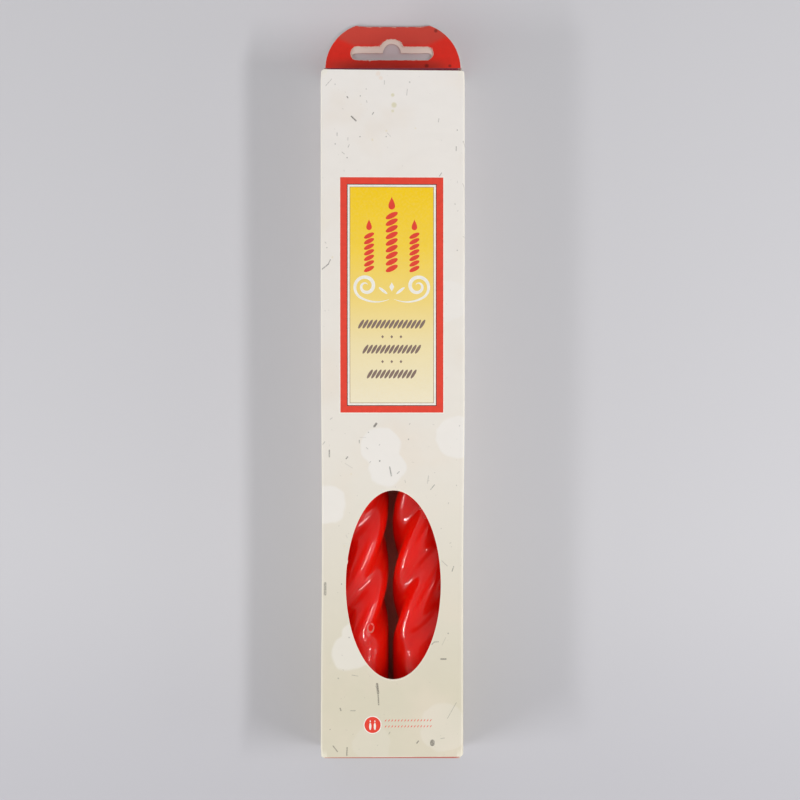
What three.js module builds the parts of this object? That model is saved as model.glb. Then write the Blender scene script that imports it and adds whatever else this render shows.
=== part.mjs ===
// A pair of red spiral candles in their hanging carton, lying on the carton's back.
// Millimetres. +Z points up out of the carton's front, +Y towards the hang tab, +X to the right
// as seen from the front. The origin is the middle of the back panel's outer face.
import * as THREE from "three";

// Candles
const CANDLE_RADIUS = 12; // over the ridges, and of the plain foot
const LEFT_GROOVE_DEPTH = 2.2;
const RIGHT_GROOVE_DEPTH = 2.7;
const STARTS = 4;
const LEAD = 96.4; // length of one whole turn of a ridge
const WAX_LENGTH = 236;
const FOOT_LENGTH = 36; // plain foot below the grooves
const FOOT_DRAFT = 0.5; // the foot is this much smaller in radius at its very end
const FOOT_CHAMFER = 0.8;
const GROOVE_FADE = 11; // length over which the grooves deepen above the foot
const TIP_LENGTH = 17;
const TIP_RADIUS = 2.4;
const LEFT_RIDGE_ANGLE = 64.5; // degrees from straight up to a ridge where the plain foot ends
const RIGHT_RIDGE_ANGLE = 94.5;
const WICK_RADIUS = 0.8;
const WICK_GAP = 0.3;
const WICK_STUB = 11; // wick standing out of the tip
const WICK_INSET = 0.5; // the wick ends this far inside the foot

// Board, and the room round the candles, which together set the carton's size
const BOARD = 0.45;
const FOLD_GAP = 0.3; // round every panel that turns on a crease
const BETWEEN_CANDLES = 1.5;
const LEFT_ROOM = 0.7;
const RIGHT_ROOM = 2.3;
const BACK_ROOM = 0.3;
const FRONT_ROOM = 1.8;
const FOOT_ROOM = 2; // from the bottom dust flaps to the candles' feet
const HEAD_ROOM = 4.1; // from the wicks' ends to the top dust flaps

// Sleeve
const GLUE_FLAP_WIDTH = 12;
const GLUE_FLAP_END_CUT = 8; // how far each end of the glue flap slopes back along the fold
const EDGE_SHOW = 0.5; // the front panel stops this far short of the closed lid's outer face
const WINDOW_WIDTH = 35;
const WINDOW_LENGTH = 70;
const WINDOW_FROM_BOTTOM = 64.3; // from the closed bottom to the oval's middle

// Closures at both ends
const LID_SIDE_GAP = 0.5; // each side of a lid, inside the side panels
const TUCK_LENGTH = 12;
const TUCK_SIDE_GAP = 0.6;
const TUCK_STRAIGHT = 5; // straight part of each side before the round corner
const DUST_LENGTH = 22;
const DUST_DROP = 5.3; // a dust flap's front edge lies this far below the tuck flap
const DUST_TAPER = 2.5; // each long edge of a dust flap slopes in by this much towards its tip

// Hang tab, two plies of board, measured up from the closed top
const TAB_SIDE_INSET = 0.8; // each side, inside the carton's width
const TAB_TOP_WIDTH = 28;
const TAB_STRAIGHT = 4; // straight part of each side below the shoulder's curve
const TAB_BRIDGE = 4.6; // board above the hump of the front ply's slot
const SLOT_FROM_BASE = 7.8;
const SLOT_WIDTH = 32;
const SLOT_HEIGHT = 5.3;
const HUMP_WIDTH = 8.1;
const HUMP_RISE = 2.9;
const REAR_SLOT_INSET = 0.7; // the rear ply's slot is this much shorter at each end
const REAR_SLOT_HEIGHT = 2.8;
const REAR_HUMP_WIDTH = 6.9;
const REAR_HUMP_RISE = 3.7;

// Fineness of the mesh
const SECTION_POINTS = 32;
const RING_STEP = 4.5;
const TIP_RINGS = 6;
const CURVE_STEPS = 14;
const WICK_SIDES = 12;

// Sizes that follow from the ones above
const half = (size) => size / 2;
const endLayers = BOARD + FOLD_GAP + BOARD; // a dust flap under a lid
const cartonWidth = 2 * BOARD + LEFT_ROOM + 4 * CANDLE_RADIUS + BETWEEN_CANDLES + RIGHT_ROOM;
const cartonDepth = 2 * BOARD + BACK_ROOM + 2 * CANDLE_RADIUS + FRONT_ROOM;
const cartonLength = 2 * endLayers + FOOT_ROOM + WAX_LENGTH + WICK_STUB + HEAD_ROOM;
const topFace = half(cartonLength);
const lidInner = topFace - BOARD;
const dustOuter = lidInner - FOLD_GAP;
const dustInner = dustOuter - BOARD;
const sideInner = half(cartonWidth) - BOARD;
const frontInner = cartonDepth - BOARD;
const tuckOuter = frontInner - FOLD_GAP;
const tuckInner = tuckOuter - BOARD;
const bottomCrease = BOARD + FOLD_GAP; // height of the bottom lid's crease above the back
const topCrease = 2 * BOARD + FOLD_GAP; // the top lid turns just above the tab's front ply
const leftAxis = -sideInner + LEFT_ROOM + CANDLE_RADIUS;
const rightAxis = sideInner - RIGHT_ROOM - CANDLE_RADIUS;
const candleHeight = BOARD + BACK_ROOM + CANDLE_RADIUS;
const candleFoot = -dustInner + FOOT_ROOM;
const boreRadius = WICK_RADIUS + WICK_GAP;
const frontSlot = { width: SLOT_WIDTH, height: SLOT_HEIGHT, humpWidth: HUMP_WIDTH, rise: HUMP_RISE };
const rearSlot = {
  width: SLOT_WIDTH - 2 * REAR_SLOT_INSET,
  height: REAR_SLOT_HEIGHT,
  humpWidth: REAR_HUMP_WIDTH,
  rise: REAR_HUMP_RISE,
};

// Colours as the photograph shows them
const cream = new THREE.MeshStandardMaterial({ color: 0xe3ddd0, roughness: 0.55, metalness: 0 });
const redPrint = new THREE.MeshStandardMaterial({ color: 0xcf3a2b, roughness: 0.5, metalness: 0 });
const bareBoard = new THREE.MeshStandardMaterial({ color: 0xd8cbb8, roughness: 0.8, metalness: 0 });
const redWax = new THREE.MeshStandardMaterial({ color: 0xc1150c, roughness: 0.22, metalness: 0 });
const wickCotton = new THREE.MeshStandardMaterial({ color: 0xe8dcc6, roughness: 0.85, metalness: 0 });

function mesh(name, geometry, material) {
  const piece = new THREE.Mesh(geometry, material);
  piece.name = name;
  return piece;
}

// A flat box between two corners.
function plate(name, low, high, material) {
  const size = high.map((value, axis) => value - low[axis]);
  const middle = high.map((value, axis) => (value + low[axis]) / 2);
  const piece = mesh(name, new THREE.BoxGeometry(...size), material);
  piece.position.set(...middle);
  return piece;
}

// A board cut to an outline in X and Y, with its lower face at the given height.
function boardPiece(name, outline, height, material) {
  const geometry = new THREE.ExtrudeGeometry(outline, {
    depth: BOARD,
    bevelEnabled: false,
    curveSegments: CURVE_STEPS,
  });
  const piece = mesh(name, geometry, material);
  piece.position.z = height;
  return piece;
}

function polygon(points) {
  return new THREE.Shape(points.map(([x, y]) => new THREE.Vector2(x, y)));
}

// Front panel with its oval window.
function frontPanel() {
  const reach = topFace - EDGE_SHOW;
  const side = half(cartonWidth);
  const outline = polygon([
    [-side, -reach],
    [side, -reach],
    [side, reach],
    [-side, reach],
  ]);
  const oval = new THREE.Path();
  const ovalY = -topFace + WINDOW_FROM_BOTTOM;
  oval.absellipse(0, ovalY, half(WINDOW_WIDTH), half(WINDOW_LENGTH), 0, 2 * Math.PI, false, 0);
  outline.holes.push(oval);
  return boardPiece("front_panel", outline, frontInner, cream);
}

function sidePanel(name, sign) {
  const inner = sign * sideInner;
  const outer = sign * half(cartonWidth);
  const low = [Math.min(inner, outer), -dustOuter, BOARD];
  const high = [Math.max(inner, outer), dustOuter, frontInner];
  return plate(name, low, high, cream);
}

function backPanel() {
  const side = half(cartonWidth);
  return plate("back_panel", [-side, -topFace, 0], [side, topFace, BOARD], cream);
}

// The flap that closes the sleeve, turned up from the back panel and glued inside the right wall.
function glueFlap() {
  const reach = dustInner - FOLD_GAP;
  const outline = polygon([
    [0, -reach],
    [GLUE_FLAP_WIDTH, -reach + GLUE_FLAP_END_CUT],
    [GLUE_FLAP_WIDTH, reach - GLUE_FLAP_END_CUT],
    [0, reach],
  ]);
  const piece = boardPiece("glue_flap", outline, 0, bareBoard);
  piece.rotation.y = -Math.PI / 2;
  piece.position.set(sideInner, 0, BOARD);
  return piece;
}

// A hook slot with round ends and a hump in the middle of its upper edge.
function slotPath(slot) {
  const round = half(slot.height);
  const middle = topFace + SLOT_FROM_BASE + round;
  const end = half(slot.width) - round;
  const path = new THREE.Path();
  path.moveTo(-end, middle - round);
  path.lineTo(end, middle - round);
  path.absarc(end, middle, round, -Math.PI / 2, Math.PI / 2, false);
  path.lineTo(half(slot.humpWidth), middle + round);
  path.absellipse(0, middle + round, half(slot.humpWidth), slot.rise, 0, Math.PI, false, 0);
  path.lineTo(-end, middle + round);
  path.absarc(-end, middle, round, Math.PI / 2, 1.5 * Math.PI, false);
  return path;
}

// One ply of the hang tab: straight sides, round shoulders that run up from them, and a flat top,
// where the plies fold over.
function tabPly(name, slot, height) {
  const side = half(cartonWidth) - TAB_SIDE_INSET;
  const flat = half(TAB_TOP_WIDTH);
  const shoulder = topFace + TAB_STRAIGHT;
  const across = side - flat;
  const rise = SLOT_FROM_BASE + SLOT_HEIGHT + HUMP_RISE + TAB_BRIDGE - TAB_STRAIGHT;
  const radius = (across * across + rise * rise) / (2 * across);
  const centre = side - radius;
  const turn = Math.atan2(rise, flat - centre);
  const outline = new THREE.Shape();
  outline.moveTo(-side, topFace);
  outline.lineTo(side, topFace);
  outline.lineTo(side, shoulder);
  outline.absarc(centre, shoulder, radius, 0, turn, false);
  outline.lineTo(-flat, shoulder + rise);
  outline.absarc(-centre, shoulder, radius, Math.PI - turn, Math.PI, false);
  outline.holes.push(slotPath(slot));
  return boardPiece(name, outline, height, redPrint);
}

// A lid stands on its crease at the back and closes one end of the carton.
function lid(name, end, creaseHeight, material) {
  const side = sideInner - LID_SIDE_GAP;
  const low = [-side, Math.min(end * lidInner, end * topFace), creaseHeight];
  const high = [side, Math.max(end * lidInner, end * topFace), tuckOuter];
  return plate(name, low, high, material);
}

// A tuck flap runs from the lid's front edge back into the carton, just under the front panel.
function tuckFlap(name, end) {
  const side = sideInner - TUCK_SIDE_GAP;
  const root = lidInner - FOLD_GAP;
  const tip = lidInner - TUCK_LENGTH;
  const corner = TUCK_LENGTH - TUCK_STRAIGHT;
  const outline = new THREE.Shape();
  outline.moveTo(-side, root);
  outline.lineTo(-side, tip + corner);
  outline.absarc(-side + corner, tip + corner, corner, Math.PI, 1.5 * Math.PI, false);
  outline.lineTo(side - corner, tip);
  outline.absarc(side - corner, tip + corner, corner, 1.5 * Math.PI, 2 * Math.PI, false);
  outline.lineTo(side, root);
  const piece = boardPiece(name, outline, 0, cream);
  piece.rotation.z = end > 0 ? 0 : Math.PI;
  piece.position.z = tuckInner;
  return piece;
}

// A dust flap turns in from the end of a side panel and lies under the lid.
function dustFlap(name, end, sign) {
  const root = sign * (sideInner - FOLD_GAP);
  const tip = sign * (sideInner - DUST_LENGTH);
  const back = topCrease + FOLD_GAP;
  const front = tuckInner - DUST_DROP;
  const outline = polygon([
    [root, back],
    [tip, back + DUST_TAPER],
    [tip, front - DUST_TAPER],
    [root, front],
  ]);
  const piece = boardPiece(name, outline, 0, bareBoard);
  piece.rotation.x = Math.PI / 2;
  piece.position.set(0, end > 0 ? dustOuter : -dustInner, 0);
  return piece;
}

// Depth of the grooves at a height above the foot, as a share of their full depth.
function grooveShare(height) {
  const along = THREE.MathUtils.clamp((height - FOOT_LENGTH) / GROOVE_FADE, 0, 1);
  return along * along * (3 - 2 * along);
}

// Distance from the candle's axis to the wax surface, without the tip's taper.
function waxRadius(height, angleFromRidge, grooveDepth) {
  if (height < FOOT_LENGTH) {
    const end = height <= 0 ? FOOT_CHAMFER : 0;
    return CANDLE_RADIUS - FOOT_DRAFT * (1 - height / FOOT_LENGTH) - end;
  }
  const dip = (1 - Math.cos(STARTS * angleFromRidge)) / 2;
  return CANDLE_RADIUS - grooveDepth * dip * grooveShare(height);
}

// The tip narrows the whole section to a small round end.
function tipShare(height) {
  const along = THREE.MathUtils.clamp((height - WAX_LENGTH + TIP_LENGTH) / TIP_LENGTH, 0, 1);
  return 1 - (1 - TIP_RADIUS / CANDLE_RADIUS) * along * along * (2 - along);
}

// Heights of the rings of points, closer together where the shape changes.
function ringHeights() {
  const heights = [0, FOOT_CHAMFER];
  const tipStart = WAX_LENGTH - TIP_LENGTH;
  const steps = Math.max(1, Math.round((tipStart - FOOT_LENGTH) / RING_STEP));
  for (let i = 0; i <= steps; i += 1) {
    heights.push(FOOT_LENGTH + ((tipStart - FOOT_LENGTH) * i) / steps);
  }
  for (let i = 1; i <= TIP_RINGS; i += 1) {
    heights.push(tipStart + (TIP_LENGTH * i) / TIP_RINGS);
  }
  return heights;
}

// Rings of equal numbers of points, each joined to the next and the last one to the first.
// The last ring lies turned against the first by a number of points.
function closedSkin(rings, turnedBy) {
  const count = rings[0].length;
  const index = [];
  rings.forEach((ring, i) => {
    const last = i === rings.length - 1;
    const here = i * count;
    const next = last ? 0 : here + count;
    const turn = last ? turnedBy : 0;
    for (let j = 0; j < count; j += 1) {
      const k = (j + 1) % count;
      const jNext = next + ((j + turn) % count);
      const kNext = next + ((k + turn) % count);
      index.push(here + j, here + k, kNext, here + j, kNext, jNext);
    }
  });
  const geometry = new THREE.BufferGeometry();
  geometry.setAttribute("position", new THREE.Float32BufferAttribute(rings.flat(2), 3));
  geometry.setIndex(index);
  geometry.computeVertexNormals();
  return geometry;
}

// Wax of one candle, standing on its foot along Z, with the bore for its wick right through.
function waxGeometry(ridgeAngle, grooveDepth) {
  const twistAt = (height) => (2 * Math.PI * Math.max(0, height - FOOT_LENGTH)) / LEAD;
  const fullTwist = twistAt(WAX_LENGTH);
  const ringAt = (height, twist, radiusAt) =>
    Array.from({ length: SECTION_POINTS }, (_, j) => {
      const fromRidge = (2 * Math.PI * j) / SECTION_POINTS;
      const angle = fromRidge + ridgeAngle + twist - Math.PI / 2;
      const radius = radiusAt(fromRidge);
      return [radius * Math.cos(angle), radius * Math.sin(angle), height];
    });
  const outside = ringHeights().map((height) =>
    ringAt(
      height,
      twistAt(height),
      (fromRidge) => waxRadius(height, fromRidge, grooveDepth) * tipShare(height),
    ),
  );
  const bore = [WAX_LENGTH, 0].map((height) => ringAt(height, fullTwist, () => boreRadius));
  const turnedBy = Math.round((fullTwist * SECTION_POINTS) / (2 * Math.PI));
  return closedSkin([...outside, ...bore], turnedBy);
}

// A candle lies along Y with its foot at the carton's bottom.
function candle(side, axisX, ridgeDegrees, grooveDepth) {
  const group = new THREE.Group();
  group.position.set(axisX, candleFoot, candleHeight);
  group.rotation.x = -Math.PI / 2;
  const ridgeAngle = THREE.MathUtils.degToRad(ridgeDegrees);
  group.add(mesh(`${side}_candle_wax`, waxGeometry(ridgeAngle, grooveDepth), redWax));
  const length = WAX_LENGTH + WICK_STUB - WICK_INSET;
  const rod = new THREE.CylinderGeometry(WICK_RADIUS, WICK_RADIUS, length, WICK_SIDES);
  const wick = mesh(`${side}_candle_wick`, rod, wickCotton);
  wick.rotation.x = Math.PI / 2;
  wick.position.z = WICK_INSET + length / 2;
  group.add(wick);
  return group;
}

function closure(word, end, creaseHeight, lidMaterial) {
  const group = new THREE.Group();
  group.add(
    lid(`${word}_lid`, end, creaseHeight, lidMaterial),
    tuckFlap(`${word}_tuck_flap`, end),
    dustFlap(`${word}_dust_flap_left`, end, -1),
    dustFlap(`${word}_dust_flap_right`, end, 1),
  );
  return group;
}

function sleeve() {
  const group = new THREE.Group();
  group.add(frontPanel(), backPanel(), glueFlap());
  group.add(sidePanel("left_side_panel", -1), sidePanel("right_side_panel", 1));
  return group;
}

const tab = new THREE.Group();
tab.add(tabPly("tab_rear_ply", rearSlot, 0), tabPly("tab_front_ply", frontSlot, BOARD));

const pack = new THREE.Group();
pack.add(
  sleeve(),
  tab,
  closure("top", 1, topCrease, redPrint),
  closure("bottom", -1, bottomCrease, cream),
  candle("left", leftAxis, LEFT_RIDGE_ANGLE, LEFT_GROOVE_DEPTH),
  candle("right", rightAxis, RIGHT_RIDGE_ANGLE, RIGHT_GROOVE_DEPTH),
);

export default pack;
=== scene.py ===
"""Looks of a slim hanging carton with two red spiral candles, built round its fixed frame.

Laid out as an add-on and run as a script. Lengths in the code are millimetres of the frame, and
become metres where a mesh is made. +Z points out of the carton's front and +Y towards the tab.
"""

import math
from functools import reduce

import bmesh
import bpy
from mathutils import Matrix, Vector, noise
from mathutils.geometry import delaunay_2d_cdt


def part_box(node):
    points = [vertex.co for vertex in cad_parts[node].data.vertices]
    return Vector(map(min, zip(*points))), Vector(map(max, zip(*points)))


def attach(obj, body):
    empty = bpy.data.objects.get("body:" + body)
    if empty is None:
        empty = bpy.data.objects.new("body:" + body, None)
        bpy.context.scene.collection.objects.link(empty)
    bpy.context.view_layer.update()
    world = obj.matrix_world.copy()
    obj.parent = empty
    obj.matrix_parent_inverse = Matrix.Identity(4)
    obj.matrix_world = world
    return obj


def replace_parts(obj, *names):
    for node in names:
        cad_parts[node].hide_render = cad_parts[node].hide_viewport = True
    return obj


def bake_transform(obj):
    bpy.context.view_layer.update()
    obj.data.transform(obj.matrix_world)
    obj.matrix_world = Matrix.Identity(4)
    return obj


bl_info = {
    "name": "Boxed spiral candles",
    "version": (1, 0, 0),
    "blender": (4, 5, 0),
    "location": "3D View > Sidebar > Candle pack",
    "description": "Builds a hanging carton with two spiral candles, its print and its studio",
    "category": "Add Mesh",
}

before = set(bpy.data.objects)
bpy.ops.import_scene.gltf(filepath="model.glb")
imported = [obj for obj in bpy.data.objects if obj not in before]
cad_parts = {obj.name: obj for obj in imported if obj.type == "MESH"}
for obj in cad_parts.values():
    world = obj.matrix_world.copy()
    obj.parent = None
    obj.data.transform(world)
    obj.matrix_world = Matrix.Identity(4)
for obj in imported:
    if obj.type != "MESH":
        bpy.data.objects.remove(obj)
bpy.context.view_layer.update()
MM = 0.001


def corners_mm(node):
    """Lowest and highest corner of a frame node, in millimetres."""
    return [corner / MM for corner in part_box(node)]


FRONT_LOW, FRONT_HIGH = corners_mm("front_panel")
BACK_LOW, BACK_HIGH = corners_mm("back_panel")
TAB_HIGH = corners_mm("tab_front_ply")[1]
TUCK_OUTER = corners_mm("top_tuck_flap")[1].z
HALF_WIDTH = FRONT_HIGH.x
DEPTH = FRONT_HIGH.z
BOARD = DEPTH - FRONT_LOW.z
TOP = BACK_HIGH.y
WALL_END = 127.0  # the side walls' ends
NOTCH_END = 126.25  # the side walls' ends beside the dust flaps


def paint(red, green, blue):
    """A printed colour, named as on a screen from 0 to 255, in linear light."""

    def linear(level):
        share = level / 255
        return share / 12.92 if share <= 0.04045 else ((share + 0.055) / 1.055) ** 2.4

    return (linear(red), linear(green), linear(blue), 1.0)


def colour(name, description, default):
    return bpy.props.FloatVectorProperty(
        name=name, description=description, subtype="COLOR", size=4, min=0, max=1, default=default
    )


def number(name, description, default, **limits):
    return bpy.props.FloatProperty(name=name, description=description, default=default, **limits)


def length(name, description, millimetres):
    kind = {"min": 0, "unit": "LENGTH", "subtype": "DISTANCE", "precision": 5}
    return number(name, description, millimetres * MM, **kind)


def share(name, description, default):
    return number(name, description, default, min=0, max=1, subtype="FACTOR")


class CartonSettings(bpy.types.PropertyGroup):
    """Sizes and colours of the folded board."""

    fold_radius: length("Fold radius", "Outside radius of the long folds", 0.9)
    window_width: length("Window width", "Width of the oval cut-out", 35.5)
    window_length: length("Window length", "Length of the oval cut-out", 70)
    window_middle: length("Window middle", "From the closed bottom to the oval's middle", 64.3)
    left_pull: length("Left pull", "How far the worn front's left fold has moved in", 0.5)
    right_pull: length("Right pull", "How far the worn front's right fold has moved in", 0.75)
    sag: length("Sag", "How far the front has sunk round the window", 0.35)
    skew: length("Skew", "How far the right ends of the front are drawn in", 0.3)
    corner_wear: length("Corner wear", "How far the front's corners are rubbed round", 0.5)
    bulge: length("Bulge", "How far the top lid bows out under the tuck crease", 0.4)
    paper_top: colour("Paper, tab end", "Printed ground near the tab", paint(236, 231, 226))
    paper_middle: colour("Paper, middle", "Printed ground behind the label", paint(230, 224, 214))
    paper_bottom: colour("Paper, bottom end", "Ground below the window", paint(213, 206, 185))
    fibre: colour("Fibres", "Dark fibres printed on the ground", paint(70, 66, 62))
    red_ink: colour("Red ink", "Print of the tab and the lids", paint(232, 50, 36))
    # Painted sheen: this paler, duller red stands in for light caught by the bent top of the tab.
    painted_sheen_ink: colour("Faded ink", "Tab's red above the bend at the slot", paint(203, 73, 60))
    # Painted shade: the upper tuck crease's red is darkened to a purple red, as if it lay in
    # shadow.
    crease_ink: colour("Crease ink", "Print on the upper tuck crease", paint(128, 34, 58))
    foot_ink: colour("Foot ink", "Dull red line on the lower tuck crease", paint(190, 110, 98))
    label_red: colour("Label red", "Frame and ornament of the label", paint(232, 73, 57))
    label_black: colour("Label black", "Thin line inside the label's red frame", paint(52, 36, 34))
    label_brown: colour("Label brown", "Hairline round the label's field", paint(168, 136, 104))
    label_white: colour("Label white", "Scrolls and inner border", paint(244, 241, 232))
    label_grey: colour("Label grey", "Rope ornament below the scrolls", paint(138, 118, 108))
    bare: colour("Bare board", "Unprinted side of the board", paint(205, 190, 168))
    cut: colour("Cut edge", "Cut edges and torn fibres", paint(235, 228, 214))


class CandleSettings(bpy.types.PropertyGroup):
    """Sizes and colours of the candles."""

    left_groove: length("Left groove", "Depth of the left candle's grooves", 2.2)
    right_groove: length("Right groove", "Depth of the right candle's grooves", 2.7)
    lead: length("Lead", "Length of one whole turn of a ridge", 96.4)
    foot: length("Foot", "Length of the plain foot", 36)
    wax: colour("Wax", "Body colour of the wax", paint(236, 20, 6))
    # Painted light: a red glow on the inside of the back board, standing in for light bounced off
    # the red candles.
    dye: colour("Dye", "Stain of the wax on the board that it lies on", paint(255, 150, 132))
    # Used for the wax's own bloom and also as the painted highlight on its hazy spots.
    wax_bloom: colour("Bloom", "Pale haze on the wax", paint(214, 70, 62))
    gloss: share("Gloss roughness", "Roughness of the polished skin of the wax", 0.06)
    sheen: share("Sheen roughness", "Roughness of the wax under its polished skin", 0.36)
    cotton: colour("Cotton", "Braided wick", paint(233, 224, 204))


class StudioSettings(bpy.types.PropertyGroup):
    """Floor, lamps and camera."""

    floor: colour("Floor", "Pale grey surface under the pack", paint(204, 203, 207))
    camera_x: number("Camera X", "Camera beside the pack's middle", 0.0027, unit="LENGTH")
    camera_y: number("Camera Y", "Camera along the pack", 0.00507, unit="LENGTH")
    camera_height: length("Camera height", "Camera above the surface", 787)
    lens: number("Lens", "Focal length on a 36 mm sensor", 92.4, min=10, max=300)
    left_lamp: number("Left lamp", "Power of the left lamp", 2.9, unit="POWER", min=0)
    right_lamp: number("Right lamp", "Power of the right lamp", 2.9, unit="POWER", min=0)
    low_lamps: share("Low lamps", "Power of the low lamps as a share of the high ones", 0.3)
    sky_top: share("Sky overhead", "Strength of the soft light from above", 0.1)
    sky_ring: share("Sky round the camera", "Strength of the soft light from half-way up", 0.57)
    sky_side: number("Sky at the sides", "Strength of the soft light from the sides", 1.05, min=0)


class Value:
    """A shader socket. Python's operators on it add Math nodes."""

    def __init__(self, recipe, socket):
        self.recipe = recipe
        self.socket = socket

    def __getitem__(self, name):
        """Another output of the same node."""
        return Value(self.recipe, self.socket.node.outputs[name])

    def math(self, operation, first, second=0.0):
        return self.recipe.node("Math", {"operation": operation}, {0: first, 1: second})

    def __add__(self, other):
        return self.math("ADD", self, other)

    def __sub__(self, other):
        return self.math("SUBTRACT", self, other)

    def __rsub__(self, other):
        return self.math("SUBTRACT", other, self)

    def __mul__(self, other):
        return self.math("MULTIPLY", self, other)

    def __pow__(self, other):
        return self.math("POWER", self, other)

    def __abs__(self):
        return self.math("ABSOLUTE", self)

    __radd__ = __add__
    __rmul__ = __mul__


class Recipe:
    """The nodes of one material or of the world."""

    def __init__(self, owner):
        self.owner = bpy.data.materials.new(owner) if isinstance(owner, str) else owner
        self.owner.use_nodes = True
        self.tree = self.owner.node_tree
        self.tree.nodes.clear()

    def node(self, kind, settings=None, inputs=None):
        """Adds a node, with its settings first and then its sockets, and gives its first output."""
        made = self.tree.nodes.new("ShaderNode" + kind)
        for key, value in (settings or {}).items():
            if key == "stops":
                ramp = made.color_ramp
                while len(ramp.elements) < len(value):
                    ramp.elements.new(0.5)
                for element, (place, shade) in zip(ramp.elements, value):
                    element.position = place
                    element.color = shade
            else:
                setattr(made, key, value)
        for key, value in (inputs or {}).items():
            if isinstance(value, Value):
                self.tree.links.new(value.socket, made.inputs[key])
            else:
                made.inputs[key].default_value = value
        return Value(self, made.outputs[0]) if len(made.outputs) else None

    def vector(self, operation, first, second=(0.0, 0.0, 0.0)):
        return self.node("VectorMath", {"operation": operation}, {0: first, 1: second})

    def scaled(self, vector, factor):
        return self.node("VectorMath", {"operation": "SCALE"}, {0: vector, "Scale": factor})

    def larger(self, first, second):
        return self.node("Math", {"operation": "MAXIMUM"}, {0: first, 1: second})

    def axes(self, place):
        return self.node("SeparateXYZ", {}, {0: place})

    def distance(self, place, x, y):
        """Distance on the sheet to one place."""
        return self.vector("DISTANCE", place, (x, y, 0))["Value"]

    def soft(self, value, low, high):
        """0 up to low, 1 from high on, smooth between. Low may lie above high."""
        settings = {"interpolation_type": "SMOOTHSTEP", "clamp": True}
        return self.node("MapRange", settings, {"Value": value, 1: low, 2: high})

    def blend(self, mask, under, over):
        return self.node("Mix", {"data_type": "RGBA"}, {0: mask, 6: under, 7: over})[2]

    def ramp(self, value, *stops):
        return self.node("ValToRGB", {"stops": stops}, {0: value})

    def noise(self, place, scale, detail=2.0, roughness=0.5):
        inputs = {"Vector": place, "Scale": scale, "Detail": detail, "Roughness": roughness}
        return self.node("TexNoise", {}, inputs)

    def bump(self, height, distance, strength=1.0, normal=None):
        inputs = {"Height": height, "Distance": distance, "Strength": strength}
        if normal is not None:
            inputs["Normal"] = normal
        return self.node("Bump", {}, inputs)

    def board_relief(self, place, pores=5.0, waves=0.16, height=0.0008):
        """Fine pores on the slow waves of printed board."""
        slow = self.bump(self.noise(place, waves, 2.0), height, 0.6)
        return self.bump(self.noise(place, pores, 4.0, 0.7), 0.00002, 0.6, slow)

    def finish(self, shade, rough, relief, **sockets):
        """Ends the recipe in one Principled surface. Socket names have _ for their spaces."""
        inputs = {"Base Color": shade, "Roughness": rough, "Normal": relief}
        inputs |= {name.replace("_", " "): value for name, value in sockets.items()}
        surface = self.node("BsdfPrincipled", {}, inputs)
        self.node("OutputMaterial", {}, {"Surface": surface})
        return self.owner

    def sheet(self):
        """Place on the flat printed sheet, in millimetres."""
        return self.node("Attribute", {"attribute_name": "sheet"})["Vector"]

    def wear(self):
        """Closeness to a cut edge or fold, from 0 to 1."""
        return self.node("Attribute", {"attribute_name": "wear"})["Fac"]

    def millimetres(self):
        """Place in the mesh's own space, in millimetres."""
        return self.scaled(self.node("TexCoord")["Object"], 1 / MM)


def carton():
    return bpy.context.scene.carton_settings


def candle():
    return bpy.context.scene.candle_settings


def studio():
    return bpy.context.scene.studio_settings


# Finishes

MARK_BLUR = 0.08
INK_GLOSS = 0.25
SCUFF = paint(92, 30, 24)


def mark_mask(recipe, gap, width):
    return recipe.soft(gap, width + MARK_BLUR, width - MARK_BLUR)


def speck(recipe, place, x, y, width, depth):
    """A dark dot on the sheet."""
    return mark_mask(recipe, recipe.distance(place, x, y), width) * depth


def stroke(recipe, place, x, y, to_x, to_y, width, depth):
    """A short straight mark between two places on the sheet."""
    run = Vector((to_x - x, to_y - y, 0))
    offset = recipe.vector("SUBTRACT", place, (x, y, 0))
    along = recipe.vector("DOT_PRODUCT", offset, tuple(run / run.length_squared))["Value"]
    nearest = recipe.scaled(tuple(run), recipe.node("Clamp", {}, {"Value": along}))
    gap = recipe.vector("LENGTH", recipe.vector("SUBTRACT", offset, nearest))["Value"]
    return mark_mask(recipe, gap, width) * depth


def scattered_marks(recipe, place, spacing, reach, width, kept, seed):
    """Short fibres of varied place, direction and length, one to a cell at most."""
    shifted = recipe.vector("ADD", place, (seed * 37.0, seed * 19.0, 0))
    inputs = {"Vector": shifted, "Scale": 1 / spacing, "Randomness": 1.0}
    cell = recipe.node("TexVoronoi", {"voronoi_dimensions": "2D", "feature": "F1"}, inputs)
    parts = recipe.node("SeparateColor", {}, {0: cell["Color"]})
    offset = recipe.vector("SUBTRACT", shifted, cell["Position"])
    inputs = {"Vector": offset, "Angle": parts * math.tau}
    local = recipe.axes(recipe.node("VectorRotate", {"rotation_type": "Z_AXIS"}, inputs))
    beyond = recipe.larger(abs(local) - parts["Green"] * parts["Green"] * reach, 0.0)
    gap = (beyond * beyond + local["Y"] * local["Y"]) ** 0.5
    shown = recipe.soft(parts["Blue"], 1 - kept, 1 - kept + 0.35)
    return recipe.soft(gap, width + 0.1, width - 0.08) * shown


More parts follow.
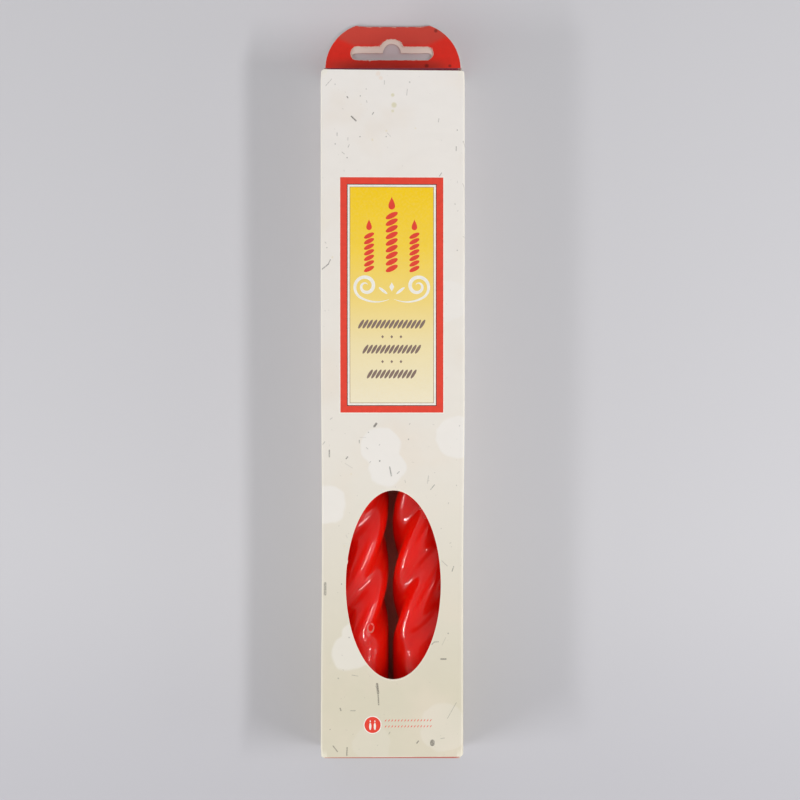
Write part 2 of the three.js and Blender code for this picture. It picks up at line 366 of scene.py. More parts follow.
# Fibres that stand out on the front: start in X and Y, end in X and Y, half width, darkness.
FRONT_STROKES = (
    (-15.3, 110.1, -13.6, 108.5, 0.24, 0.85), (-24.8, 121.4, -22.6, 123.9, 0.12, 0.5),
    (-16.9, 117.4, -16.6, 117.0, 0.22, 0.7), (-3.1, 123.4, -3.1, 122.1, 0.14, 0.4),
    (5.4, 120.3, 5.2, 118.1, 0.14, 0.35), (-7.1, 111.6, -7.5, 110.9, 0.2, 0.55),
    (17.1, 109.4, 16.9, 108.2, 0.16, 0.35), (23.5, 99.0, 23.5, 97.6, 0.2, 0.5),
    (26.2, 101.0, 27.1, 98.9, 0.28, 0.4), (-2.0, 104.0, -0.8, 102.8, 0.12, 0.3),
    (-20.6, 104.0, -20.6, 103.0, 0.2, 0.35), (-16.1, 99.6, -16.5, 98.7, 0.16, 0.4),
    (-18.8, 96.9, -17.9, 96.2, 0.16, 0.35), (18.1, 89.3, 17.3, 88.1, 0.16, 0.5),
    (25.9, 85.3, 26.9, 83.0, 0.14, 0.35), (-23.1, 57.0, -23.8, 55.4, 0.18, 0.65),
    (-23.8, 55.4, -26.1, 53.5, 0.2, 0.7), (-6.1, -3.7, -6.8, -4.7, 0.42, 0.75),
    (-12.4, -9.8, -12.4, -10.8, 0.18, 0.5), (-23.7, -13.5, -23.7, -15.9, 0.26, 0.6),
    (-16.8, -16.0, -17.3, -16.6, 0.26, 0.7), (-1.1, -19.8, -0.5, -23.0, 0.24, 0.6),
    (2.4, -21.5, 1.7, -22.2, 0.2, 0.5), (13.3, -23.1, 12.9, -25.8, 0.2, 0.25),
    (15.5, -26.4, 14.1, -28.1, 0.16, 0.55), (18.4, -54.6, 20.5, -56.5, 0.14, 0.35),
    (23.0, -56.7, 22.4, -58.4, 0.18, 0.6), (-25.4, -62.8, -25.4, -66.8, 0.5, 0.5),
    (14.6, -85.6, 15.5, -84.7, 0.16, 0.6), (15.5, -84.7, 17.1, -84.6, 0.16, 0.6),
    (18.1, -91.0, 20.0, -91.0, 0.26, 0.75), (-15.1, -96.8, -12.9, -97.2, 0.14, 0.4),
    (-5.8, -100.2, -5.4, -103.5, 0.42, 0.7), (-5.4, -103.5, -5.2, -107.8, 0.26, 0.6),
    (-19.5, -109.1, -19.2, -109.9, 0.22, 0.65), (-15.6, -110.0, -13.9, -110.0, 0.18, 0.45),
    (24.1, -107.2, 20.6, -113.0, 0.11, 0.45), (-1.0, -118.0, -1.4, -118.7, 0.16, 0.4),
    (9.5, -121.4, 9.0, -122.1, 0.26, 0.65), (14.8, -121.7, 14.8, -122.4, 0.85, 0.72),
    (18.0, -120.5, 19.4, -120.3, 0.18, 0.3), (-22.1, -123.0, -20.5, -125.1, 0.2, 0.6),
    (-16.9, -123.7, -17.0, -126.5, 0.24, 0.6),
)

# Specks on the front: X, Y, radius, darkness.
FRONT_SPECKS = (
    (-21.3, 122.0, 0.24, 0.4), (-12.0, 117.7, 0.24, 0.5), (-9.8, 120.3, 0.24, 0.35),
    (6.3, 122.9, 0.3, 0.4), (23.9, 105.2, 0.24, 0.55), (-2.4, 102.7, 0.26, 0.45),
    (-12.1, 102.6, 0.24, 0.6), (-21.3, 99.9, 0.28, 0.45), (-16.9, 94.8, 0.24, 0.6),
    (23.1, 77.8, 0.26, 0.4), (23.9, 60.6, 0.28, 0.35), (-24.4, 61.5, 0.24, 0.5),
    (-9.0, -6.9, 0.26, 0.5), (-4.8, -17.5, 0.34, 0.6), (5.8, -9.5, 0.28, 0.55),
    (23.9, -26.6, 0.26, 0.35), (-19.1, -63.1, 0.26, 0.5), (-16.2, -82.9, 0.3, 0.4),
    (20.9, -81.5, 0.28, 0.5), (-20.2, -98.0, 0.28, 0.5), (-23.2, -116.9, 0.22, 0.45),
)

# Pale round blotches of the printed ground: X, Y, radius, strength.
FRONT_BLOTCHES = (
    (-4.4, -12.4, 7.4, 0.8), (-2.0, -20.2, 6.8, 0.8), (23.4, -8.4, 7.8, 0.75),
    (-24.8, -33.8, 7.4, 0.7), (-11.1, -84.5, 8.5, 0.5), (-15.9, -88.2, 7.0, 0.5),
    (21.1, 42.1, 7.5, 0.6), (19.2, -116.3, 9.0, 0.2), (-7.8, -122.6, 7.0, 0.12),
)

# Small stains: X, Y, radius, colour.
FRONT_STAINS = (
    (0.0, 118.1, 0.6, (212, 205, 168)), (0.5, 114.4, 0.9, (212, 205, 168)),
    (0.0, 112.2, 0.5, (218, 210, 178)), (-5.4, 126.0, 0.8, (234, 220, 208)),
    (-4.4, 124.4, 0.7, (234, 220, 208)),
)

# Stray fibres all over the ground: spacing, reach, half width, share kept, seed, darkness.
STRAY_FIBRES = (
    (13.0, 1.7, 0.13, 0.3, 1, 0.4),
    (7.4, 0.6, 0.13, 0.34, 2, 0.34),
    (4.6, 0.25, 0.12, 0.3, 3, 0.26),
)

# Dark scuffs on the tab: X, Y, radius.
TAB_SCUFFS = ((16.4, 146.4, 0.7), (12.9, 133.0, 0.8), (21.8, 133.0, 0.6))

# Label's yellow from its foot to its top.
LABEL_STOPS = (
    (0.0, paint(238, 228, 201)),
    (0.28, paint(238, 222, 172)),
    (0.48, paint(241, 214, 124)),
    (0.72, paint(244, 208, 66)),
    (1.0, paint(245, 203, 10)),
)


def cream_print():
    """Warm white ground with pale blotches, dark fibres and specks."""
    look = carton()
    recipe = Recipe("cream_print")
    place = recipe.sheet()
    up = recipe.node("MapRange", {}, {"Value": recipe.axes(place)["Y"], 1: -TOP, 2: TOP})
    stops = ((0.1, look.paper_bottom), (0.44, look.paper_middle), (1.0, look.paper_top))
    ground = recipe.ramp(up, *stops)
    cloud = recipe.noise(place, 0.035, 3.0)
    ground = recipe.blend(recipe.soft(cloud, 0.45, 0.72) * 0.35, ground, paint(229, 214, 196))
    blots = recipe.soft(recipe.noise(place, 0.3, 1.0), 0.76, 0.8)
    ground = recipe.blend(blots * 0.35, ground, paint(221, 206, 160))
    ripple = recipe.noise(place, 0.16, 1.0) * 3.0
    blotches = [
        recipe.soft(recipe.distance(place, x, y) + ripple, radius + 2.0, radius + 0.9) * strength
        for x, y, radius, strength in FRONT_BLOTCHES
    ]
    ground = recipe.blend(reduce(recipe.larger, blotches), ground, paint(235, 231, 226))
    for x, y, radius, tint in FRONT_STAINS:
        stain = recipe.soft(recipe.distance(place, x, y), radius * 1.5, radius * 0.6)
        ground = recipe.blend(stain * 0.7, ground, paint(*tint))
    marks = [stroke(recipe, place, *row) for row in FRONT_STROKES]
    marks += [speck(recipe, place, *row) for row in FRONT_SPECKS]
    grain = recipe.noise(place, 2.6, 3.0, 0.65)
    marks = [reduce(recipe.larger, marks) * recipe.soft(grain, 0.3, 0.52)]
    marks += [scattered_marks(recipe, place, *row[:5]) * row[5] for row in STRAY_FIBRES]
    shade = recipe.blend(reduce(recipe.larger, marks), ground, look.fibre)
    worn_edge = recipe.soft(recipe.wear() + (grain - 0.5) * 0.5, 0.55, 1.0)
    shade = recipe.blend(worn_edge * 0.55, shade, paint(236, 231, 214))
    rough = 0.42 + recipe.noise(place, 0.8, 2.0) * 0.12 + worn_edge * 0.2
    relief = recipe.board_relief(place, 6.0, 0.09, 0.0009)
    return recipe.finish(shade, rough, relief, Specular_IOR_Level=0.42)


def flat_ink(recipe, place, ink, depth):
    """A faint mottle, and the ink's colour with it."""
    mottle = recipe.noise(place, 0.55, 3.0, 0.6)
    deep = tuple(channel * depth for channel in ink[:3]) + (1.0,)
    return mottle, recipe.blend(recipe.soft(mottle, 0.2, 0.8) * 0.6, ink, deep)


def scuffed(recipe, place, shade, torn_share, pull=0.62, spots=()):
    """Ink that breaks to pale fibres where it is worn, with dark scuffs."""
    grain = recipe.noise(place, 3.4, 4.0, 0.7)
    torn = recipe.soft(recipe.wear() * pull + grain * 0.6, 0.86, 0.93)
    shade = recipe.blend(torn * torn_share, shade, carton().cut)
    scuffs = scattered_marks(recipe, place, 9.0, 0.8, 0.3, 0.22, 5)
    for x, y, radius in spots:
        away = recipe.distance(place, x, y) + grain
        scuffs = scuffs + recipe.soft(away, radius + 0.7, radius + 0.2)
    return recipe.blend(scuffs * 0.6, shade, SCUFF)


def inked(name, setting, torn_share):
    """Flat ink on coated board, in one of the carton's colours."""
    recipe = Recipe(name)
    place = recipe.sheet()
    mottle, shade = flat_ink(recipe, place, getattr(carton(), setting), 0.8)
    if torn_share:
        shade = scuffed(recipe, place, shade, torn_share)
    rough = 0.36 + mottle * 0.14
    return recipe.finish(shade, rough, recipe.board_relief(place), Specular_IOR_Level=INK_GLOSS)


def tab_print():
    """Red ink of the tab, with a painted sheen above the bend at the slot and a painted shadow at
    its foot, torn round the slot.
    """
    look = carton()
    recipe = Recipe("tab_print")
    place = recipe.sheet()
    parts = recipe.axes(place)
    mottle, shade = flat_ink(recipe, place, look.red_ink, 0.86)
    # Painted sheen: the red turns paler and duller above the bend, where the tilted board would
    # catch the light. The same mask also makes it rougher.
    outward = recipe.larger(abs(parts + 1.0) - BEND_HALF, 0.0)
    upper = recipe.soft(parts["Y"] - outward * BEND_SLOPE, 139.6, 142.0)
    shade = recipe.blend(upper * 0.9, shade, look.painted_sheen_ink)
    # Painted shadow: the tab's red darkens at its foot, where the carton's end wall would shade it.
    foot = recipe.soft(parts["Y"], 136.8, 132.6) * recipe.soft(abs(parts + 2.0), 27.0, 17.0)
    shade = recipe.blend(foot, shade, paint(190, 56, 42))
    shade = scuffed(recipe, place, shade, 0.9, 0.64, TAB_SCUFFS)
    rough = 0.38 + mottle * 0.14 + upper * 0.1
    return recipe.finish(shade, rough, recipe.board_relief(place), Specular_IOR_Level=INK_GLOSS)


def label_field():
    """Yellow that pales towards the foot of the label."""
    recipe = Recipe("label_field")
    place = recipe.sheet()
    up = recipe.node("MapRange", {}, {"Value": recipe.axes(place)["Y"], 1: 4.0, 2: 84.0})
    shade = recipe.ramp(up, *LABEL_STOPS)
    mottle = recipe.noise(place, 1.1, 4.0, 0.6)
    shade = recipe.blend(recipe.soft(mottle, 0.35, 0.8) * 0.18, shade, paint(236, 214, 150))
    rough = 0.4 + mottle * 0.12
    relief = recipe.board_relief(place, 6.0, 0.09, 0.0009)
    return recipe.finish(shade, rough, relief, Specular_IOR_Level=INK_GLOSS)


def bare_board(name="bare_board", dye=0.0):
    """Grey-beige inner side of recycled board, with a painted red glow where asked, standing in for
    light bounced off the candles.
    """
    recipe = Recipe(name)
    place = recipe.sheet()
    fibres = recipe.noise(recipe.vector("MULTIPLY", place, (1.0, 0.3, 1.0)), 2.2, 4.0, 0.65)
    shade = recipe.blend(recipe.soft(fibres, 0.35, 0.75), carton().bare, paint(222, 209, 188))
    specks = scattered_marks(recipe, place, 2.4, 0.5, 0.06, 0.4, 7)
    shade = recipe.blend(specks * 0.4, shade, paint(140, 122, 100))
    # Painted red bounce light from the candles, laid over the board's own colour.
    if dye:
        shade = recipe.blend(dye, shade, candle().dye)
    return recipe.finish(shade, 0.82 + fibres * 0.1, recipe.bump(fibres, 0.00004, 0.5))


def cut_edge():
    """Pale fuzzy edge where the board is cut."""
    recipe = Recipe("cut_edge")
    fuzz = recipe.noise(recipe.sheet(), 4.5, 4.0, 0.75)
    shade = recipe.blend(recipe.soft(fuzz, 0.3, 0.7), paint(214, 204, 186), carton().cut)
    return recipe.finish(shade, 0.8 + fuzz * 0.1, recipe.bump(fuzz, 0.00008, 0.7))


# Each candle's axis in X, and the angle of one ridge at the top of its foot, in degrees.
CANDLES = {"left": (-13.55, 64.5), "right": (11.95, 94.5)}
AXIS_HEIGHT = 12.75

# Dents and hazy spots on the wax, the spots rougher and paled as a painted highlight where the
# lamps' highlights fall: place from its candle's axis, reach across and along, dent, haze.
WAX_MARKS = {
    "left": (
        (5.35, -79.8, 1.2, 1.7, 1.0, 0.2),
        (4.06, -85.5, 1.4, 1.1, 0.0, 0.9),
        (5.75, -88.7, 1.2, 1.3, 0.0, 0.8),
        (6.2, -93.5, 1.3, 1.6, 0.0, 0.7),
    ),
    "right": (
        (-1.7, -35.2, 0.5, 0.6, 0.8, 0.4),
        (0.0, -38.4, 0.5, 0.5, 0.8, 0.4),
        (-5.3, -91.8, 2.3, 4.3, 0.0, 0.45),
    ),
}


def red_wax(side):
    """Glossy dyed wax with fine streaks that run along the ridges, hazy where it is handled, with
    painted highlights on hazy spots and dent rims.
    """
    look = candle()
    recipe = Recipe(side + "_red_wax")
    axis = (CANDLES[side][0], 0, AXIS_HEIGHT)
    offset = recipe.vector("SUBTRACT", recipe.millimetres(), axis)
    parts = recipe.axes(offset)
    inputs = {"Vector": offset, "Angle": parts["Y"] * (-math.tau / (look.lead / MM))}
    turned = recipe.node("VectorRotate", {"rotation_type": "Y_AXIS"}, inputs)
    streak = recipe.noise(recipe.vector("MULTIPLY", turned, (1.0, 0.025, 1.0)), 1.6, 4.0, 0.6)
    cloud = recipe.noise(recipe.vector("MULTIPLY", turned, (0.5, 0.12, 0.5)), 0.3, 2.0)
    haze = recipe.soft(streak, 0.5, 0.72) * recipe.soft(cloud, 0.4, 0.62)
    shade = recipe.blend(haze * 0.3, look.wax, look.wax_bloom)
    flat = recipe.vector("MULTIPLY", offset, (1.0, 1.0, 0.0))
    specks = scattered_marks(recipe, flat, 7.0, 0.12, 0.1, 0.25, 4)
    shade = recipe.blend(specks * 0.4, shade, paint(226, 120, 108))
    smear = recipe.noise(offset, 0.35, 3.0)
    dents, painted_rim_glint, spots = 0.0, 0.0, 0.0
    for x, y, across, along, dent, haze_and_highlight in WAX_MARKS[side]:
        local = recipe.vector("SUBTRACT", offset, (x, y, 0))
        local = recipe.vector("MULTIPLY", local, (1 / across, 1 / along, 0))
        away = recipe.vector("LENGTH", local)["Value"]
        spot = recipe.soft(away, 1.2, 0.7)
        dents = spot * dent + dents
        painted_rim_glint = recipe.soft(abs(away - 0.95), 0.3, 0.05) * dent + painted_rim_glint
        spots = spot * haze_and_highlight + spots
    upper = recipe.soft(parts["Z"], 1.0, 4.0)
    spots = spots * upper
    # Painted highlight: the hazy spots are paled towards the bloom colour where the lamps'
    # highlights fall.
    shade = recipe.blend(spots * 0.3, shade, look.wax_bloom)
    # Painted highlight: a pale pink ring round each dent stands in for the glint on its rim.
    painted_rim_glint = painted_rim_glint * upper * recipe.soft(smear, 0.4, 0.55)
    shade = recipe.blend(painted_rim_glint * 0.6, shade, paint(240, 170, 160))
    foot = recipe.soft(parts["Y"], -86.0, -93.0)
    rubbed = foot * (0.7 + recipe.soft(smear, 0.4, 0.6) * 0.3) + spots * 0.6 + haze * 0.3
    skin = recipe.node("Clamp", {}, {"Value": 1 - rubbed}) * 0.65
    fine = recipe.bump(streak, 0.00006, 0.5)
    pitted = recipe.bump(dents * upper, -0.0004, 1.0, fine)
    relief = recipe.bump(recipe.noise(offset, 0.5, 2.0), 0.0002, 0.35, pitted)
    return recipe.finish(
        shade,
        look.sheen,
        relief,
        IOR=1.45,
        Specular_IOR_Level=0.08,
        Coat_Weight=skin,
        Coat_Roughness=look.gloss,
        Subsurface_Weight=1.0,
        Subsurface_Radius=(1.0, 0.05, 0.03),
        Subsurface_Scale=0.03,
    )


def wick_cotton():
    """Waxed braided cotton, with dark lines between the plies."""
    recipe = Recipe("wick_cotton")
    stretched = recipe.vector("MULTIPLY", recipe.millimetres(), (6.0, 1.2, 6.0))
    yarn = recipe.noise(stretched, 1.0, 3.0, 0.6)
    shade = recipe.blend(recipe.soft(yarn, 0.3, 0.7), paint(203, 190, 164), candle().cotton)
    return recipe.finish(shade, 0.7 + yarn * 0.2, recipe.bump(yarn, 0.00008, 0.8))


def floor_paper():
    """Pale grey seamless surface that keeps the pack's shadow."""
    recipe = Recipe("floor_paper")
    place = recipe.millimetres()
    # Painted shade: the floor darkens towards the pack's bottom end, standing in for the lamps'
    # light falling off.
    ends = recipe.soft(recipe.axes(place)["Y"], -40.0, -160.0) * 0.7
    shade = recipe.blend(ends, studio().floor, paint(184, 183, 189))
    relief = recipe.bump(recipe.noise(place, 1.5, 3.0), 0.00003, 0.3)
    return recipe.finish(shade, 0.75, relief)


# Inks that tear where they are worn: the colour's setting, and how far. The label's don't tear.
INKS = {
    "red_print": ("red_ink", 0.85),
    # The upper tuck crease's ink is a painted shade.
    "crease_print": ("crease_ink", 0.5),
    "foot_line": ("foot_ink", 0.6),
}

FINISHES = {
    "cream_print": cream_print,
    "tab_print": tab_print,
    "label_field": label_field,
    "bare_board": bare_board,
    "dyed_board": lambda: bare_board("dyed_board", 0.85),
    "cut_edge": cut_edge,
    "left_red_wax": lambda: red_wax("left"),
    "right_red_wax": lambda: red_wax("right"),
    "wick_cotton": wick_cotton,
}


def finish(name):
    """The material of that name, made the first time it is asked for."""
    made = bpy.data.materials.get(name)
    if made is None and name in FINISHES:
        made = FINISHES[name]()
    return made or inked(name, *INKS.get(name, (name, 0.0)))


# Mesh helpers

BEND_HALF = 14  # half width of the tab's level bend over the slot
BEND_SLOPE = 0.45  # its rise towards the tab's corners


def clamp(value, low=0.0, high=1.0):
    return min(max(value, low), high)


def eased(value, low, high):
    """0 at low and 1 at high, smooth between."""
    at = clamp((value - low) / (high - low))
    return at * at * (3 - 2 * at)


def bell(value, middle, spread):
    return math.exp(-(((value - middle) / spread) ** 2))


def worn(point, skewed=1.0):
    """Where a point of the crisp carton lies on this used one. Nothing leaves the frame's box."""
    look = carton()
    x, y, z = point
    up = clamp(z / DEPTH)
    across = clamp(x / HALF_WIDTH, -1, 1)
    if across < 0:
        pull = look.left_pull / MM * bell(y, -45, 52)
    else:
        pull = look.right_pull / MM * eased(y, 12, -75)
    x -= across**3 * pull * up**2.2
    corner = eased(abs(y), FRONT_HIGH.y - 2.2, FRONT_HIGH.y) ** 2 * up**12
    x -= across**9 * look.corner_wear / MM * corner
    y *= 1 - skewed * look.skew / MM * up * (across + 1) / 2 / TOP
    y += look.bulge / MM * eased(y, 126.9, 127.5) * eased(z, 20.5, 25)
    z -= look.sag / MM * bell(y, -63, 36) * (1 - across * across) * eased(up, 0.9, 1.0)
    return (x, y, z)


def worn_end(point):
    """As worn, for the lids and flaps, whose creases run straight across the carton."""
    return worn(point, 0.0)


def tab_lift(point):
    """The tab springs a little off the surface, and more above the bend that runs from its slot."""
    x, y, z = point
    along = clamp((y - TOP) / (TAB_HIGH.y - TOP))
    bent = y - BEND_SLOPE * max(abs(x + 1) - BEND_HALF, 0)
    lift = 0.1 * along**1.6 + 0.05 * eased(bent, 139.5, 147.5)
    lift += 0.01 * math.sin(x / 6.5 + 0.8) * along
    return (x, y, z + lift * eased(along, 0.05, 0.3))


def crisp(point):
    return point


class Shell:
    """Points in millimetres with their places on the printed sheet, and faces with their finish."""

    def __init__(self, shape=worn):
        self.shape = shape
        self.points = []
        self.sheet = []
        self.wear = []
        self.faces = []
        self.finishes = []

    def point(self, place, sheet=None, wear=0.0):
        self.points.append(place)
        self.sheet.append((*(sheet or place)[:2], 0.0))
        self.wear.append(wear)
        return len(self.points) - 1

    def face(self, corners, look):
        self.faces.append(corners)
        self.finishes.append(look)

    def band(self, first, second, look, closed=False):
        """Faces between two rows of points."""
        count = len(first)
        for i in range(count if closed else count - 1):
            j = (i + 1) % count
            self.face((first[i], first[j], second[j], second[i]), look)

    def skin(self, rows, look):
        """A closed body through closed rows of points."""
        for first, second in zip(rows, rows[1:]):
            self.band(first, second, look, closed=True)
        self.face(rows[0], look)
        self.face(rows[-1], look)

    def piece(self, name, body, slot, smooth=40, solid=True):
        """The mesh object, with equal points merged, riding on its body when that is given by name.
        """
        mesh = bpy.data.meshes.new(name)
        places = [tuple(c * MM for c in self.shape(p)) for p in self.points]
        mesh.from_pydata(places, [], self.faces)
        looks = list(dict.fromkeys(self.finishes))
        for look in looks:
            mesh.materials.append(finish(look))
        mesh.polygons.foreach_set("material_index", [looks.index(look) for look in self.finishes])
        mesh.attributes.new("sheet", "FLOAT_VECTOR", "POINT").data.foreach_set(
            "vector", [c for place in self.sheet for c in place]
        )
        mesh.attributes.new("wear", "FLOAT", "POINT").data.foreach_set("value", self.wear)
        work = bmesh.new()
        work.from_mesh(mesh)
        bmesh.ops.remove_doubles(work, verts=work.verts, dist=1e-6)
        bmesh.ops.dissolve_degenerate(work, edges=work.edges, dist=1e-7)
        if solid:
            bmesh.ops.recalc_face_normals(work, faces=work.faces)
        work.to_mesh(mesh)
        work.free()
        mesh.shade_smooth()
        mesh.set_sharp_from_angle(angle=math.radians(smooth))
        made = bpy.data.objects.new(name, mesh)
        bpy.context.scene.collection.objects.link(made)
        if isinstance(body, str):
            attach(made, body)
        else:
            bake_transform(made)
        return made


def metres(*place):
    return tuple(c * MM for c in place)


def station(low, high, inward, sheet_low, sheet_high, wear=0.0):
    """One line across a board, on its printed side, and the step to its bare side."""
    return {
        "ends": (Vector(low), Vector(high)),
        "inward": Vector(inward),
        "sheet": (sheet_low, sheet_high),
        "wear": wear,
    }


def folded_board(shell, stations, rows, outside="cream_print", inside="bare_board"):
    """A board of one thickness through its stations, in rows from their low to high ends."""
    grids = []
    for step in (0.0, 1.0):
        grid = []
        for line in stations:
            column = []
            for row in range(rows + 1):
                at = row / rows
                place = line["ends"][0].lerp(line["ends"][1], at) + line["inward"] * step
                flat = [a + (b - a) * at for a, b in zip(*line["sheet"])]
                near_end = max(bell(at, 0, 1.2 / rows), bell(at, 1, 1.2 / rows))
                column.append(shell.point(tuple(place), flat, max(line["wear"], near_end)))
            grid.append(column)
        grids.append(grid)
    outer, inner = grids
    for grid, look in ((outer, outside), (inner, inside)):
        for first, second in zip(grid, grid[1:]):
            shell.band(first, second, look)
    for end in (0, -1):
        shell.band([c[end] for c in outer], [c[end] for c in inner], "cut_edge")
        shell.band(outer[end], inner[end], "cut_edge")


def quarter(centre, radius, start, turn, steps=6):
    """Points and outward directions of an arc in a plane, from a start angle in degrees."""
    found = []
    for i in range(steps + 1):
        angle = math.radians(start + turn * i / steps)
        way = (math.cos(angle), math.sin(angle))
        found.append(((centre[0] + radius * way[0], centre[1] + radius * way[1]), way))
    return found


def spread(start, end, count):
    """Evenly spaced numbers from start to end, both with them, over count gaps."""
    return [start + (end - start) * i / count for i in range(count + 1)]


def oval(middle, across, along, angle=0, steps=14):
    """Points of an oval, anticlockwise, tilted by an angle in degrees."""
    turn = math.radians(angle)
    found = []
    for i in range(steps):
        u = across * math.cos(math.tau * i / steps)
        v = along * math.sin(math.tau * i / steps)
        x = u * math.cos(turn) - v * math.sin(turn)
        y = u * math.sin(turn) + v * math.cos(turn)
        found.append((middle[0] + x, middle[1] + y))
    return found


def half_oval(x, y, across, along, turns):
    """Points of half an oval at all its turns but the last."""
    return [(x + across * math.cos(turn), y + along * math.sin(turn)) for turn in turns[:-1]]


def box_ring(low, high, step):
    """Points round a rectangle, anticlockwise, about a step apart."""
    corners = (low, (high[0], low[1]), high, (low[0], high[1]))
    found = []
    for a, b in zip(corners, corners[1:] + corners[:1]):
        count = max(1, round(math.dist(a, b) / step))
        found += list(zip(spread(a[0], b[0], count), spread(a[1], b[1], count)))[:-1]
    return found


def grid_points(low, high, step):
    """A slightly staggered grid inside a rectangle, for evenly sized triangles."""
    found = []
    rows = int((high[1] - low[1]) / step)
    for j in range(1, rows):
        y = low[1] + (high[1] - low[1]) * j / rows
        shift = 0.25 * step * (j % 2)
        found += [
            (low[0] + step * i + shift, y) for i in range(1, int((high[0] - low[0]) / step))
        ]
    return found


def kept_off(points, outline, gap):
    return [p for p in points if all(math.dist(p, q) > gap for q in outline)]


def anticlockwise(outline):
    area = sum(a[0] * b[1] - b[0] * a[1] for a, b in zip(outline, outline[1:] + outline[:1]))
    return list(outline) if area > 0 else list(reversed(outline))


def cut_flat(outlines, extra):
    """Triangles of overlapping outlines, each with the number of the last outline round it."""
    points, faces = [], []
    for outline in map(anticlockwise, outlines):
        faces.append(list(range(len(points), len(points) + len(outline))))
        points += outline
    points += extra
    result = delaunay_2d_cdt([Vector(p) for p in points], [], faces, 1, 1e-4)
    return [tuple(p) for p in result[0]], [(t, max(o)) for t, o in zip(result[2], result[5]) if o]


def no_wear(x, y):
    return 0.0


def flat_faces(shell, outlines, extra, height, looks, flip=False, wear=no_wear):
    """Flat faces at one height. Each outline has its finish, or None where it is a hole."""
    points, triangles = cut_flat(outlines, extra)
    numbers = {}
    for corners, owner in triangles:
        if looks[owner] is None:
            continue
        for corner in corners:
            if corner not in numbers:
                x, y = points[corner]
                numbers[corner] = shell.point((x, y, height), None, wear(x, y))
        face = [numbers[corner] for corner in corners]
        shell.face(face[::-1] if flip else face, looks[owner])


def walls(shell, rings, look, wear=1.0):
    """Walls between closed rings of equal count, each given as its points and its height."""
    rows = [[shell.point((x, y, z), None, wear) for x, y in points] for points, z in rings]
    for first, second in zip(rows, rows[1:]):
        shell.band(first, second, look, closed=True)


# Front board, label and badge

FLAT_HALF = 24.5
ROWS = 72
POCKET = 0.12
INLAY = 0.1
LABEL_MIDDLE = (-0.36, 44.0)
LABEL_HALF = (19.09, 43.59)
HALO = 0.35
BADGE_LOW, BADGE_HIGH = (-11.5, -119.0), (15.2, -111.5)
BADGE_MIDDLE = (-7.46, -115.3)
WINDOW_X = 0.27
BEVEL = 0.14
NICKS = ((-16.95, -54.9), (-10.3, -90.0))


def label_box(inset):
    """Outline of the label, inset from its red frame."""
    low = [m - h + inset for m, h in zip(LABEL_MIDDLE, LABEL_HALF)]
    high = [m + h - inset for m, h in zip(LABEL_MIDDLE, LABEL_HALF)]
    return box_ring(tuple(low), tuple(high), 2.0)


def badge_box():
    return box_ring(BADGE_LOW, BADGE_HIGH, 1.5)


def window_place():
    look = carton()
    middle = (WINDOW_X, BACK_LOW.y + look.window_middle / MM)
    return middle, look.window_width / 2 / MM, look.window_length / 2 / MM


def window_ring(outset, steps=320):
    """The oval cut-out, with two small tags of board left by the cutting die."""
    middle, across, along = window_place()
    found = []
    for x, y in oval(middle, across + outset, along + outset, 0, steps):
        tag = 0.35 * bell(min(math.dist((x, y), nick) for nick in NICKS), 0, 0.45)
        share_in = tag / math.dist((x, y), middle)
        found.append((x + (middle[0] - x) * share_in, y + (middle[1] - y) * share_in))
    return found


def front_wear(x, y):
    middle, across, along = window_place()
    round_window = abs(math.hypot((x - middle[0]) / across, (y - middle[1]) / along) - 1) * across
    return max(bell(round_window, 0, 0.6), bell(FRONT_HIGH.y - abs(y), 0, 0.7))


def front_board():
    shell = Shell()
    low, high = (-FLAT_HALF, FRONT_LOW.y), (FLAT_HALF, FRONT_HIGH.y)
    edge = box_ring(low, high, (high[1] - low[1]) / ROWS)
    bevel, cut_out = window_ring(BEVEL), window_ring(0.0)
    label, badge = label_box(-HALO), badge_box()
    near_ends = [(x, side * (high[1] - 0.9)) for side in (-1, 1) for x in range(-23, 24, 2)]
    extra = grid_points(low, high, 3.2) + window_ring(0.9, 160) + near_ends
    printed = ["cream_print", None, None, None]
    flat_faces(shell, [edge, bevel, label, badge], extra, DEPTH, printed, wear=front_wear)
    for pocket in (label, badge):
        flat_faces(shell, [pocket], [], DEPTH - POCKET, ["bare_board"])
        walls(shell, [(pocket, DEPTH), (pocket, DEPTH - POCKET)], "cut_edge", 0.0)
    flat_faces(shell, [edge, cut_out], extra, FRONT_LOW.z, ["bare_board", None], flip=True)
    walls(shell, [(bevel, DEPTH), (cut_out, DEPTH - 0.15), (cut_out, FRONT_LOW.z)], "cut_edge")
    walls(shell, [(edge, DEPTH), (edge, FRONT_LOW.z)], "cut_edge", 0.0)
    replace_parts(shell.piece("front_board", "carton", "printed_board"), "front_panel")


def inlay(name, outlines, looks, step):
    """A thin printed plate that lies flush in its pocket in the front board."""
    shell = Shell()
    edge = outlines[0]
    low = tuple(min(p[i] for p in edge) for i in range(2))
    high = tuple(max(p[i] for p in edge) for i in range(2))
    flat_faces(shell, outlines, grid_points(low, high, step), DEPTH, looks)
    flat_faces(shell, [edge], [], DEPTH - INLAY, ["bare_board"], flip=True)
    walls(shell, [(edge, DEPTH), (edge, DEPTH - INLAY)], "cut_edge", 0.0)
    shell.piece(name, "carton", "printed_board")


def flame(foot, half_width, height, steps=24):
    """A drop with its point up."""
    found = []
    for i in range(steps):
        turn = math.tau * i / steps
        x = half_width * 1.3 * math.sin(turn) * math.sin(turn / 2) ** 1.6
        found.append((foot[0] + x, foot[1] + height * (1 + math.cos(turn)) / 2))
    return found


